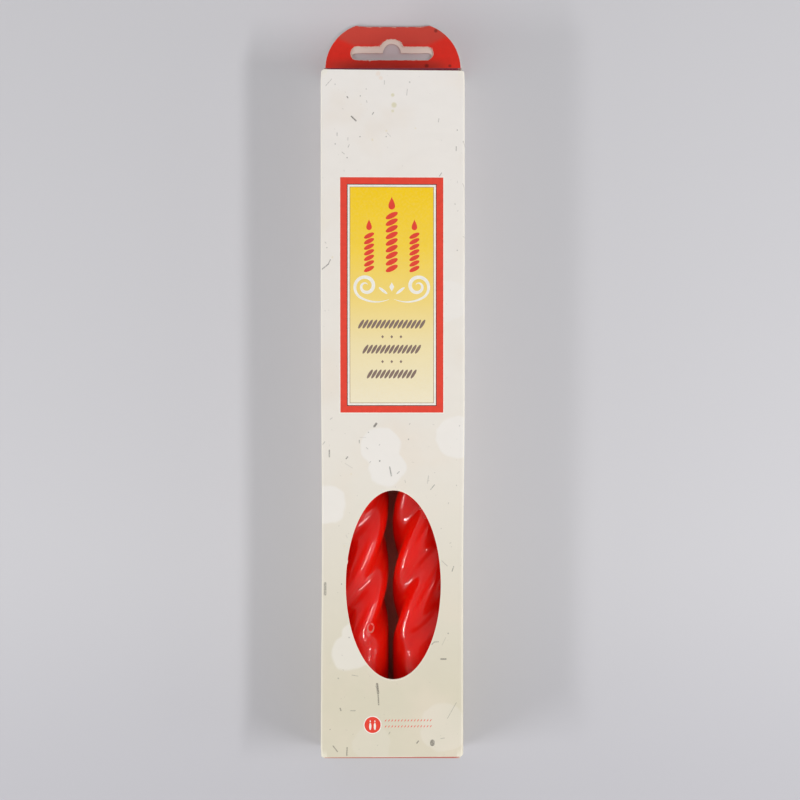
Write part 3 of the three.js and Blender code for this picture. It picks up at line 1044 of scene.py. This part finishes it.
def ribbon(path, widest):
    """Outline of a stroke that swells along a path and tapers at both ends."""
    left, right = [], []
    last = len(path) - 1
    for i, (x, y) in enumerate(path):
        before, after = path[max(i - 1, 0)], path[min(i + 1, last)]
        run, rise = after[0] - before[0], after[1] - before[1]
        half = (0.06 + widest * math.sin(math.pi * (i + 0.3) / (last + 0.6)) ** 0.8) / 2
        size = math.hypot(run, rise)
        left.append((x - rise / size * half, y + run / size * half))
        right.append((x + rise / size * half, y - run / size * half))
    return left + right[::-1]


def volute(side):
    """A scroll that runs out from the label's middle line and curls in on itself."""
    middle, start, bend = (9.6, 47.2), (0.9, 42.4), (6.6, 40.1)
    turn_from, turn_by, wide, small = math.radians(-60), math.radians(560), 4.6, 0.9
    meet = (middle[0] + wide * math.cos(turn_from), middle[1] + wide * math.sin(turn_from))
    path = []
    for t in spread(0, 1, 12)[:-1]:
        weights = ((1 - t) ** 2, 2 * t * (1 - t), t * t)
        path.append([sum(w * p[k] for w, p in zip(weights, (start, bend, meet))) for k in (0, 1)])
    for t in spread(0, 1, 48):
        radius = wide + (small - wide) * t**0.85
        angle = turn_from + turn_by * t
        path.append((middle[0] + radius * math.cos(angle), middle[1] + radius * math.sin(angle)))
    return ribbon([(LABEL_MIDDLE[0] + side * x, y) for x, y in path], 1.25)


def diamond(middle, half_width, half_height):
    x, y = middle
    return [(x - half_width, y), (x, y - half_height), (x + half_width, y), (x, y + half_height)]


LABEL_LAYERS = (
    (-HALO, "label_white"),
    (0.0, "label_red"),
    (2.5, "label_black"),
    (2.75, "label_white"),
    (3.5, "label_brown"),
    (3.7, "label_field"),
)
CANDLE_FOOT = 52.6
SMALL_CANDLES = ((-8.4, 7, 2.1), (0.0, 9, 2.5), (8.4, 7, 2.1))  # shift, turns, half width
ROPES = ((24, 33.2), (21, 23.9), (18, 14.7))  # width, height on the label
ROPE_PITCH = 1.62
DOT_ROWS = (28.5, 19.3)


def label_print():
    centre = LABEL_MIDDLE[0]
    layers = [(label_box(inset), look) for inset, look in LABEL_LAYERS]
    for shift, turns, half_width in SMALL_CANDLES:
        x, pitch = centre + shift, half_width * 0.98
        for i in range(turns):
            middle = (x, CANDLE_FOOT + pitch * (i + 0.5))
            layers.append((oval(middle, half_width, pitch * 0.4, 27), "label_red"))
        tip = (x, CANDLE_FOOT + pitch * turns + 1.0)
        layers.append((flame(tip, half_width * 0.55, half_width * 1.9), "label_red"))
    for side in (-1, 1):
        layers.append((volute(side), "label_white"))
        petal = oval((centre + side * 3.2, 45.6), 2.0, 0.5, side * 38)
        layers.append((petal, "label_white"))
    layers.append((diamond((centre, 47.0), 0.9, 1.7), "label_white"))
    for width, height in ROPES:
        count = round(width / ROPE_PITCH)
        for i in range(count):
            middle = (centre + ROPE_PITCH * (i - (count - 1) / 2), height)
            layers.append((oval(middle, 1.95, 0.56, 58), "label_grey"))
    for height in DOT_ROWS:
        for shift in (-3.4, 0.0, 3.4):
            layers.append((diamond((centre + shift, height), 0.5, 0.6), "label_grey"))
    inlay("label_print", *map(list, zip(*layers)), 4.0)


def badge_print():
    x, y = BADGE_MIDDLE
    layers = [(badge_box(), "cream_print")]
    for radius, look in ((3.33, "label_white"), (3.0, "label_red")):
        layers.append((oval((x, y), radius, radius, 0, 48), look))
    for side in (-1, 1):
        bar = (x + side * 0.85, y - 0.55)
        layers.append((oval(bar, 1.35, 0.42, 90), "label_white"))
        layers.append((flame((bar[0], bar[1] + 1.55), 0.26, 0.85, 12), "label_white"))
    for height in (-113.7, -115.9):
        for i in range(15):
            layers.append((oval((-2.6 + 1.2 * i, height), 0.52, 0.15, 55, 8), "label_red"))
    inlay("badge_print", *map(list, zip(*layers)), 3.0)


# Sleeve

FOLD_STEPS = 6
# Heights of the lines on a side wall. Those beside a dust flap end a little short.
NOTCH_HEIGHTS = (20.55, 17.5, 14.5, 11.5, 8.5, 5.0, 1.45)
WALL_HEIGHTS = (23.5, 20.6, *NOTCH_HEIGHTS, 1.4)


def wall_station(side, x, z, way, low, high, run, wear=0.0):
    """A line along the carton, from low to high, at a run over the sheet from its middle."""
    inward = (-side * way[0] * BOARD, 0, -way[1] * BOARD)
    ends = (side * x, -low, z), (side * x, high, z)
    return station(*ends, inward, (side * run, -low), (side * run, high), wear)


def fold_wear(step):
    return 0.9 * math.sin(math.pi * step / FOLD_STEPS)


def side_section(side, folded):
    """Stations across one long fold, down the side wall, and round to its foot."""
    radius = carton().fold_radius / MM
    corner = HALF_WIDTH - radius
    front_end = FRONT_HIGH.y
    spots = [(FLAT_HALF, DEPTH, (0, 1), front_end, front_end, 0.0)]
    for i, (place, way) in enumerate(quarter((corner, DEPTH - radius), radius, 90, -90)):
        end = front_end + (WALL_END - front_end) * i / FOLD_STEPS
        spots.append((*place, way, end, end, fold_wear(i)))
    for z in WALL_HEIGHTS:
        end = NOTCH_END if z in NOTCH_HEIGHTS else WALL_END
        spots.append((HALF_WIDTH, z, (1, 0), end, end, 0.0))
    if folded:
        for i, (place, way) in enumerate(quarter((corner, radius), radius, 0, -90)):
            high = WALL_END + (TOP - WALL_END) * i / FOLD_STEPS
            spots.append((*place, way, WALL_END, high, fold_wear(i)))
        spots.append((FLAT_HALF, 0.0, (0, -1), WALL_END, TOP, 0.0))
    else:
        spots.append((HALF_WIDTH, 0.35, (1, 0), WALL_END, WALL_END, 0.8))
    stations = []
    run = FLAT_HALF
    before = spots[0]
    for spot in spots:
        run += math.dist(spot[:2], before[:2])
        before = spot
        stations.append(wall_station(side, *spot[:5], run, spot[5]))
    return stations, run


def sleeve():
    runs = {}
    for name, side in (("left", -1), ("right", 1)):
        shell = Shell()
        stations, runs[name] = side_section(side, name == "left")
        folded_board(shell, stations, ROWS)
        board = shell.piece(name + "_side_board", "carton", "printed_board")
        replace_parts(board, name + "_side_panel")
    shell = Shell()
    stations = []
    for x in spread(-FLAT_HALF, FLAT_HALF, 14):
        run = -runs["left"] - (x + FLAT_HALF)
        stations.append(wall_station(1, x, 0.0, (0, -1), WALL_END, TOP, run))
    # Its inside carries the painted red bounce light from the candles.
    folded_board(shell, stations, ROWS, inside="dyed_board")
    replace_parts(shell.piece("back_board", "carton", "printed_board"), "back_panel")
    glue_flap()


def glue_flap():
    shell = Shell()
    radius = carton().fold_radius / MM
    corner = HALF_WIDTH - BOARD - radius
    spots = [(FLAT_HALF, 0.0, (0, -1), WALL_END, TOP)]
    for i, (place, way) in enumerate(quarter((corner, radius), radius, -90, 90)):
        high = TOP - (TOP - NOTCH_END) * i / FOLD_STEPS
        spots.append((*place, way, WALL_END - 0.75 * i / FOLD_STEPS, high))
    for i in range(1, 6):
        end = NOTCH_END - 8.0 * i / 5
        spots.append((corner + radius, radius + (12.45 - radius) * i / 5, (1, 0), end, end))
    stations = [wall_station(1, *spot, 90 + spot[1]) for spot in spots]
    folded_board(shell, stations, ROWS)
    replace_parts(shell.piece("glue_flap_board", "carton", "bare_board"), "glue_flap")


# Hang tab

SHOULDER_RADIUS = 17.53
SHOULDER_TURN = 71.3
STRAIGHT = 4.0
PLY = 0.45
PLY_LEVELS = (2, 1.7, 1.4, 1.02, 0.98, 0.6, 0.3, 0.0)
TAB_DIP = 0.35
TAB_TOP_HALF = 14.0
SLOT_SHIFT = -0.4
# Width, height, width and rise of the hump, and lower edge of each hook slot.
FRONT_SLOT = (31.7, 5.1, 8.1, 2.8, 135.2)
REAR_SLOT = (30.4, 2.65, 6.9, 3.6, 135.25)
BESIDE_SLOT = (34.2, 7.4, 10.2, 2.9, 134.2)
TAB_STEP, TAB_MARGIN = 1.7, 0.35
TORN = ((-6.2, 141.0), (-9.7, 135.4), (8.3, 135.7), (14.9, 139.6))


def slot_outline(width, height, hump_width, hump_rise, base):
    """A hook slot with round ends and a hump in its upper edge."""
    round_end = height / 2
    middle = base + round_end
    top = middle + round_end
    end, hump = width / 2 - round_end, hump_width / 2
    right, left = (list(map(math.radians, spread(a, a + 180, 12))) for a in (-90, 90))
    found = [(x, base) for x in spread(-end, end, 48)[:-1]]
    found += half_oval(end, middle, round_end, round_end, right)
    found += [(x, top) for x in spread(end, hump, 16)[:-1]]
    found += half_oval(0, top, hump, hump_rise, spread(0, math.pi, 16))
    found += [(x, top) for x in spread(-hump, -end, 16)[:-1]]
    found += half_oval(-end, middle, round_end, round_end, left)
    return [(x + SLOT_SHIFT, y) for x, y in found]


def roughened(outline, depth, seed):
    """A cut outline with small torn irregularities, coarse and fine."""
    found = []
    for x, y in outline:
        coarse = noise.noise_vector(Vector((x * 0.45, y * 0.45, seed)))
        fine = noise.noise_vector(Vector((x * 2.1, y * 2.1, seed + 9)))
        found.append((x + depth * (coarse.x + 0.8 * fine.x), y + depth * (coarse.y + 0.8 * fine.y)))
    return found


def tab_outline(height):
    """Outline of the doubled tab at a height: rounded over where the plies fold, cut elsewhere."""
    side = TAB_HIGH.x
    foot = TOP + 0.3 if height > PLY else TOP
    over = abs(height - PLY) / PLY
    fold = PLY * (1 - math.sqrt(max(0.0, 1 - over * over)))
    seam = 0.06 if abs(height - PLY) < 0.1 else 0.0
    shoulder = TOP + STRAIGHT
    centre = side - SHOULDER_RADIUS
    found = [(-side + seam + (side - seam) * i / 9, foot) for i in range(18)]
    right = [(side - seam, foot + (shoulder - foot) * i / 2) for i in range(2)]
    for i in range(16):
        turn = math.radians(SHOULDER_TURN * i / 16)
        radius = SHOULDER_RADIUS - seam
        right.append((centre + radius * math.cos(turn), shoulder + radius * math.sin(turn)))
    end = centre + SHOULDER_RADIUS * math.cos(math.radians(SHOULDER_TURN))
    top = []
    for i in range(25):
        x = end * (1 - i / 12)
        inward = 1 - abs(x / end) ** 6
        top.append((x, TAB_HIGH.y - (TAB_DIP + fold) * inward))
    left = [(-x, y) for x, y in reversed(right[1:])]
    return found + right + top + left


def hang_tab():
    shell = Shell(lambda place: worn(tab_lift(place)))
    front_slot = roughened(slot_outline(*FRONT_SLOT), 0.16, 1.0)
    rear_slot = roughened(slot_outline(*REAR_SLOT), 0.12, 4.0)
    extra = grid_points((-TAB_HIGH.x, TOP), (TAB_HIGH.x, TAB_HIGH.y), TAB_STEP)
    extra += slot_outline(*BESIDE_SLOT)
    levels = [level * PLY for level in PLY_LEVELS]

    def wear(x, y):
        near = min(math.dist((x, y), p) for p in front_slot)
        torn = max(bell(math.dist((x, y), spot), 0, 2.0) for spot in TORN)
        return max(bell(near, 0, 0.4 + 1.2 * torn), 0.5 * bell(TAB_HIGH.y - TAB_DIP - y, 0, 0.4))

    outlines = [tab_outline(level) for level in levels]
    top, bottom, high = outlines[0], outlines[-1], levels[0]
    spots = kept_off(extra, top, TAB_MARGIN)
    flat_faces(shell, [top, front_slot], spots, high, ["tab_print", None], wear=wear)
    walls(shell, [(front_slot, high), (front_slot, PLY)], "cut_edge")
    flat_faces(shell, [front_slot, rear_slot], [], PLY, ["bare_board", None])
    walls(shell, [(rear_slot, PLY), (rear_slot, 0.0)], "cut_edge")
    spots = kept_off(extra, bottom, TAB_MARGIN)
    flat_faces(shell, [bottom, rear_slot], spots, 0.0, ["cream_print", None], flip=True)
    rows = [
        [shell.point((x, y, z), None, 0.9) for x, y in outline]
        for outline, z in zip(outlines, levels)
    ]
    count = len(rows[0])
    for first, second in zip(rows, rows[1:]):
        for i in range(count):
            j = (i + 1) % count
            ends = [shell.points[first[k]] for k in (i, j)]
            on_fold = all(abs(x) < TAB_TOP_HALF and y > TAB_HIGH.y - 1 for x, y, z in ends)
            look = "tab_print" if on_fold else "cut_edge"
            shell.face((first[i], first[j], second[j], second[i]), look)
    piece = shell.piece("hang_tab_board", "carton", "red_board")
    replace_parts(piece, "tab_front_ply", "tab_rear_ply")


# Closures

LID_HALF = 25.75
TUCK_HALF = 25.65
TUCK_TIP, TUCK_CORNER = 115.3, 7.0
LID_TOP = 25.5
CREASE_OUTER = 0.75
CREASE_INNER = 0.3
TOP_ARC, LOW_ARC = (128.05, 1.2), (-WALL_END, 0.75)  # middles of the lids' creases, in Y and Z
# The top lid's tuck crease gets the painted shade of its ink.
CLOSURES = (
    ("top", 1, 1.2, "red_board", "red_print", "crease_print"),
    ("bottom", -1, 0.75, "printed_board", "cream_print", "foot_line"),
)
DUST_ROOT = 25.95
DUST_LOW, DUST_HIGH = 1.5, 20.5


def crease(name, body, slot, half, arc, start, turn, look, concave=False):
    """The bent strip of board between two panels that share a crease across the carton."""
    shell = Shell(worn_end)
    radius = CREASE_INNER if concave else CREASE_OUTER
    side = 1 if concave else -1
    stations = []
    for place, way in quarter(arc, radius, start, turn):
        ends = ((-half, *place), (half, *place))
        inward = (0, side * way[0] * BOARD, side * way[1] * BOARD)
        flat = ((-half, place[0] + place[1]), (half, place[0] + place[1]))
        stations.append(station(*ends, inward, *flat, 0.8))
    folded_board(shell, stations, 20, outside=look)
    shell.piece(name, body, slot)


def lid(word, end, foot, slot, look):
    shell = Shell(worn_end)
    outer = end * TOP
    stations = []
    for z in spread(foot, LID_TOP, 8):
        ends = ((-LID_HALF, outer, z), (LID_HALF, outer, z))
        flat = ((-LID_HALF, outer + end * z), (LID_HALF, outer + end * z))
        stations.append(station(*ends, (0, -end * BOARD, 0), *flat))
    folded_board(shell, stations, 20, outside=look)
    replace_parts(shell.piece(word + "_lid_board", word + "_lid", slot), word + "_lid")


def tuck_flap(word, end):
    shell = Shell(worn_end)
    outline = [(x, WALL_END) for x in spread(-TUCK_HALF, TUCK_HALF, 20)]
    for side, start in ((1, 0), (-1, 270)):
        for degrees in spread(start, start - 90, 8):
            turn = math.radians(degrees)
            x = side * (TUCK_HALF - TUCK_CORNER) + TUCK_CORNER * math.cos(turn)
            outline.append((x, TUCK_TIP + TUCK_CORNER + TUCK_CORNER * math.sin(turn)))
    outline = [(x, end * y) for x, y in outline]
    near, far = sorted((end * WALL_END, end * TUCK_TIP))
    extra = kept_off(grid_points((-TUCK_HALF, near), (TUCK_HALF, far), 2.4), outline, 0.6)
    inner = TUCK_OUTER - BOARD
    flat_faces(shell, [outline], extra, TUCK_OUTER, ["cream_print"])
    flat_faces(shell, [outline], extra, inner, ["bare_board"], flip=True)
    walls(shell, [(outline, TUCK_OUTER), (outline, inner)], "cut_edge")
    name = word + "_tuck_flap"
    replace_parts(shell.piece(name + "_board", name, "printed_board"), name)


def dust_flap(word, end, side):
    name = word + "_dust_flap_" + ("left" if side < 0 else "right")
    board, fold = Shell(worn_end), Shell(worn_end)
    stations = []
    for x, taper in zip(spread(DUST_ROOT, 4.25, 10), spread(0.0, 2.5, 10)):
        low, high = DUST_LOW + taper, DUST_HIGH - taper
        ends = ((side * x, end * WALL_END, low), (side * x, end * WALL_END, high))
        stations.append(station(*ends, (0, -end * BOARD, 0), (x, DUST_LOW), (x, DUST_HIGH)))
    folded_board(board, stations, 10, outside="bare_board")
    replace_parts(board.piece(name + "_board", name, "bare_board"), name)
    stations = []
    for place, way in quarter((DUST_ROOT, NOTCH_END), CREASE_OUTER, 0, 90):
        x, y = side * place[0], end * place[1]
        inward = (-side * way[0] * BOARD, -end * way[1] * BOARD, 0)
        flat = ((place[0], DUST_LOW), (place[0], DUST_HIGH))
        stations.append(station((x, y, DUST_LOW), (x, y, DUST_HIGH), inward, *flat, 0.8))
    folded_board(fold, stations, 10, outside="bare_board")
    start = metres(side * 26.5, end * NOTCH_END, 11)
    stop = metres(side * DUST_ROOT, end * 126.8, 11)
    fold.piece(name + "_crease", ("carton", name, start, stop), "bare_board")


def closures():
    """Lids, tuck flaps, dust flaps and the creases between them."""
    body = ("carton", "top_lid", metres(0, 128.05, 0.7), metres(0, 127.5, 1.2))
    strip = (LID_HALF, TOP_ARC, -90, -90)
    crease("top_lid_crease", body, "red_board", *strip, "red_print", concave=True)
    body = ("carton", "bottom_lid", metres(0, -WALL_END, 0.2), metres(0, -127.55, 0.75))
    strip = (LID_HALF, LOW_ARC, -90, -90)
    crease("bottom_lid_crease", body, "printed_board", *strip, "cream_print")
    for word, end, foot, slot, look, line in CLOSURES:
        lid(word, end, foot, slot, look)
        start, stop = metres(0, end * 127.55, LID_TOP), metres(0, end * WALL_END, 26.05)
        body = (word + "_lid", word + "_tuck_flap", start, stop)
        strip = (TUCK_HALF, (end * WALL_END, LID_TOP), 90 - end * 90, end * 90)
        crease(word + "_tuck_crease", body, slot, *strip, line)
        tuck_flap(word, end)
        for side in (-1, 1):
            dust_flap(word, end, side)


# Candles

FOOT_Y = -124.55
WAX_LENGTH = 236.0
RADIUS = 12.0
TIP_RADIUS = 2.4
TAPER = 17.0
FADE = 11.0  # length over which the ridges rise out of the plain foot
FOOT_EDGE = 0.8
TIP_STEPS_FROM = 219.4
WICK_STUB = 11.0
WICK_BELOW = 18.0  # length of the braid that is modelled at the tip
BRAID_PITCH, BRAID_WIDE, BRAID_DEEP = 3.3, 0.4, 0.24
RING_POINTS = 144
# Hollows in the foot and round the wick: radius, and height from the foot or down from the tip.
FOOT_RINGS = ((0.95, 1.2), (1.05, 0.5), (1.5, 0.34), (4, 0.25), (8, 0.1), (10.2, 0.02))
TIP_RINGS = ((2.35, 0.25), (2.05, 0.06), (1.5, 0.0), (0.95, 0.1), (0.8, 0.5))


def wax_radius(height, angle, groove):
    """Radius of the wax at a height over its foot and an angle from the nearest ridge line."""
    foot = candle().foot / MM
    fade = 0.5 - 0.5 * math.cos(math.pi * clamp((height - foot) / FADE))
    dip = (0.5 - 0.5 * math.cos(4 * angle)) ** 1.15
    radius = RADIUS - groove * dip * fade
    radius -= 0.5 * clamp((foot - height) / foot)
    if height < FOOT_EDGE:
        radius -= FOOT_EDGE - math.sqrt(max(0.0, 0.64 - (FOOT_EDGE - height) ** 2))
    at = clamp((height - (WAX_LENGTH - TAPER)) / TAPER)
    return radius * (1 - (1 - TIP_RADIUS / RADIUS) * at * at * (2 - at))


def wax_heights():
    found = [0.0, 0.08, 0.2, 0.4, 0.6]
    found += [FOOT_EDGE + i for i in range(219)]
    found += [TIP_STEPS_FROM + 0.7 * i for i in range(24)]
    return [h for h in found if h < WAX_LENGTH - 0.25]


def candle_wax(name, axis_x, ridge, groove):
    shell = Shell(crisp)
    turn_per_mm = math.tau / (candle().lead / MM)
    foot = candle().foot / MM

    def ring_at(height, radius_of):
        row = []
        for i in range(RING_POINTS):
            angle = math.tau * i / RING_POINTS
            around = math.radians(ridge) + turn_per_mm * (height - foot) + angle
            radius = radius_of(angle)
            x, z = radius * math.sin(around), radius * math.cos(around)
            row.append(shell.point((axis_x + x, FOOT_Y + height, AXIS_HEIGHT + z)))
        return row

    rows = [ring_at(height, lambda angle, r=radius: r) for radius, height in FOOT_RINGS]
    for height in wax_heights():
        rows.append(ring_at(height, lambda angle, h=height: wax_radius(h, angle, groove)))
    for radius, below in TIP_RINGS:
        rows.append(ring_at(WAX_LENGTH - below, lambda angle, r=radius: r))
    shell.skin(rows, name + "_red_wax")
    piece = shell.piece(name + "_spiral_wax", name + "_candle", "red_wax", smooth=55)
    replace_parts(piece, name + "_candle_wax")


STRAND = 0.36


def yarn(shell, path):
    """A strand along a path that runs mostly in Y, rounded at both ends."""
    rows = []
    for i, (x, y, z) in enumerate(path):
        size = STRAND * (0.45, 0.85, 1.0)[min(i, len(path) - 1 - i, 2)]
        row = []
        for k in range(10):
            turn = math.tau * k / 10
            row.append(shell.point((x + size * math.cos(turn), y, z + size * math.sin(turn))))
        rows.append(row)
    shell.skin(rows, "wick_cotton")


def candle_wick(name, axis_x, phase):
    """Three waxed strands braided together: the stub over the tip and the cut end in the foot."""
    shell = Shell(crisp)
    tip = FOOT_Y + WAX_LENGTH + WICK_STUB
    for low, high in ((FOOT_Y + 0.05, FOOT_Y + 3.0), (tip - WICK_BELOW, tip)):
        for strand in range(3):
            path = []
            for y in spread(low, high, max(10, round((high - low) / 0.28))):
                turn = math.tau * (y / BRAID_PITCH + strand / 3) + phase
                x, z = BRAID_WIDE * math.sin(turn), BRAID_DEEP * math.sin(2 * turn)
                path.append((axis_x + x, y, AXIS_HEIGHT + z))
            yarn(shell, path)
    piece = shell.piece(name + "_braided_wick", name + "_candle", "wick_cotton", smooth=60)
    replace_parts(piece, name + "_candle_wick")


# Studio

# Places of each side's high strip lamp and low panel lamp, and the lamps' sizes, in metres.
LAMPS = (
    ("left", (-0.74, -0.34, 0.48), (-0.88, -0.36, 0.2)),
    ("right", (0.62, -0.2, 0.6), (0.9, -0.24, 0.24)),
)
STRIP, PANEL = (0.42, 0.05), (0.3, 0.4)


def placed(name, data):
    made = bpy.data.objects.new(name, data)
    bpy.context.scene.collection.objects.link(made)
    return made


def floor():
    mesh = bpy.data.meshes.new("floor")
    work = bmesh.new()
    bmesh.ops.create_grid(work, x_segments=8, y_segments=8, size=3.0)
    work.to_mesh(mesh)
    work.free()
    mesh.materials.append(floor_paper())
    placed("floor", mesh)


def side_lamp(name, place, power, wide, tall):
    data = bpy.data.lights.new(name, "AREA")
    data.shape = "RECTANGLE"
    data.size, data.size_y = wide, tall
    data.energy = power
    made = placed(name, data)
    made.location = place
    made.rotation_euler = (-Vector(place)).to_track_quat("-Z", "Y").to_euler()


def sky():
    """Soft light all round, weaker overhead, where the camera hangs."""
    world = bpy.data.worlds.new("sky")
    bpy.context.scene.world = world
    recipe = Recipe(world)
    up = recipe.axes(recipe.node("TexCoord")["Generated"])["Z"]
    look = studio()
    light = look.sky_side + recipe.soft(up, 0.2, 0.55) * (look.sky_ring - look.sky_side)
    light = light * recipe.soft(up, 0.97, 0.86) + recipe.soft(up, 0.86, 0.97) * look.sky_top
    lit = recipe.node("Background", {}, {"Color": (1, 1, 1, 1), "Strength": light})
    recipe.node("OutputWorld", {}, {"Surface": lit})


def camera():
    look = studio()
    data = bpy.data.cameras.new("camera")
    data.sensor_width = 36
    data.lens = look.lens
    data.clip_start = 0.02
    made = placed("camera", data)
    made.location = (look.camera_x, look.camera_y, look.camera_height)
    bpy.context.scene.camera = made


# Operators, in the order in which they run


class PACK_OT_studio(bpy.types.Operator):
    """Adds the floor, the side lamps, the sky and the camera"""

    bl_idname = "candle_pack.studio"
    bl_label = "Studio"

    def execute(self, context):
        bpy.context.scene.view_settings.view_transform = "Standard"
        camera()
        floor()
        look = studio()
        for name, high, low in LAMPS:
            power = getattr(look, name + "_lamp")
            side_lamp(name + "_lamp", high, power, *STRIP)
            side_lamp(name + "_low_lamp", low, power * look.low_lamps, *PANEL)
        sky()
        return {"FINISHED"}


class PACK_OT_front(bpy.types.Operator):
    """Adds the front board with its oval cut-out"""

    bl_idname = "candle_pack.front"
    bl_label = "Front board"

    def execute(self, context):
        front_board()
        return {"FINISHED"}


class PACK_OT_print(bpy.types.Operator):
    """Adds the printed label and the round badge"""

    bl_idname = "candle_pack.label_and_badge"
    bl_label = "Label and badge"

    def execute(self, context):
        label_print()
        badge_print()
        return {"FINISHED"}


class PACK_OT_sleeve(bpy.types.Operator):
    """Adds the side boards, the back board and the glue flap"""

    bl_idname = "candle_pack.sleeve"
    bl_label = "Sleeve"

    def execute(self, context):
        sleeve()
        return {"FINISHED"}


class PACK_OT_tab(bpy.types.Operator):
    """Adds the doubled hang tab with its hook slot"""

    bl_idname = "candle_pack.hang_tab"
    bl_label = "Hang tab"

    def execute(self, context):
        hang_tab()
        return {"FINISHED"}


class PACK_OT_closures(bpy.types.Operator):
    """Adds the lids, the tuck flaps, the dust flaps and their creases"""

    bl_idname = "candle_pack.closures"
    bl_label = "Closures"

    def execute(self, context):
        closures()
        return {"FINISHED"}


class PACK_OT_candles(bpy.types.Operator):
    """Adds the two spiral candles and their wicks"""

    bl_idname = "candle_pack.candles"
    bl_label = "Candles"

    def execute(self, context):
        look = candle()
        for index, (name, (axis_x, ridge)) in enumerate(CANDLES.items()):
            candle_wax(name, axis_x, ridge, getattr(look, name + "_groove") / MM)
            candle_wick(name, axis_x, 0.4 + index)
        return {"FINISHED"}


OPERATORS = (
    PACK_OT_studio,
    PACK_OT_front,
    PACK_OT_print,
    PACK_OT_sleeve,
    PACK_OT_tab,
    PACK_OT_closures,
    PACK_OT_candles,
)


class PACK_PT_sidebar(bpy.types.Panel):
    """Lists the pieces of the pack"""

    bl_idname = "PACK_PT_sidebar"
    bl_label = "Candle pack"
    bl_space_type = "VIEW_3D"
    bl_region_type = "UI"
    bl_category = "Candle pack"

    def draw(self, context):
        for operator in OPERATORS:
            self.layout.operator(operator.bl_idname)
        for settings in (carton(), candle(), studio()):
            box = self.layout.box()
            for name in settings.__annotations__:
                box.prop(settings, name)


CLASSES = (CartonSettings, CandleSettings, StudioSettings, *OPERATORS, PACK_PT_sidebar)


def register():
    for item in CLASSES:
        bpy.utils.register_class(item)
    bpy.types.Scene.carton_settings = bpy.props.PointerProperty(type=CartonSettings)
    bpy.types.Scene.candle_settings = bpy.props.PointerProperty(type=CandleSettings)
    bpy.types.Scene.studio_settings = bpy.props.PointerProperty(type=StudioSettings)


def unregister():
    del bpy.types.Scene.studio_settings
    del bpy.types.Scene.candle_settings
    del bpy.types.Scene.carton_settings
    for item in reversed(CLASSES):
        bpy.utils.unregister_class(item)


def main():
    register()
    bpy.ops.candle_pack.studio()
    bpy.ops.candle_pack.front()
    bpy.ops.candle_pack.label_and_badge()
    bpy.ops.candle_pack.sleeve()
    bpy.ops.candle_pack.hang_tab()
    bpy.ops.candle_pack.closures()
    bpy.ops.candle_pack.candles()


if __name__ == "__main__":
    main()
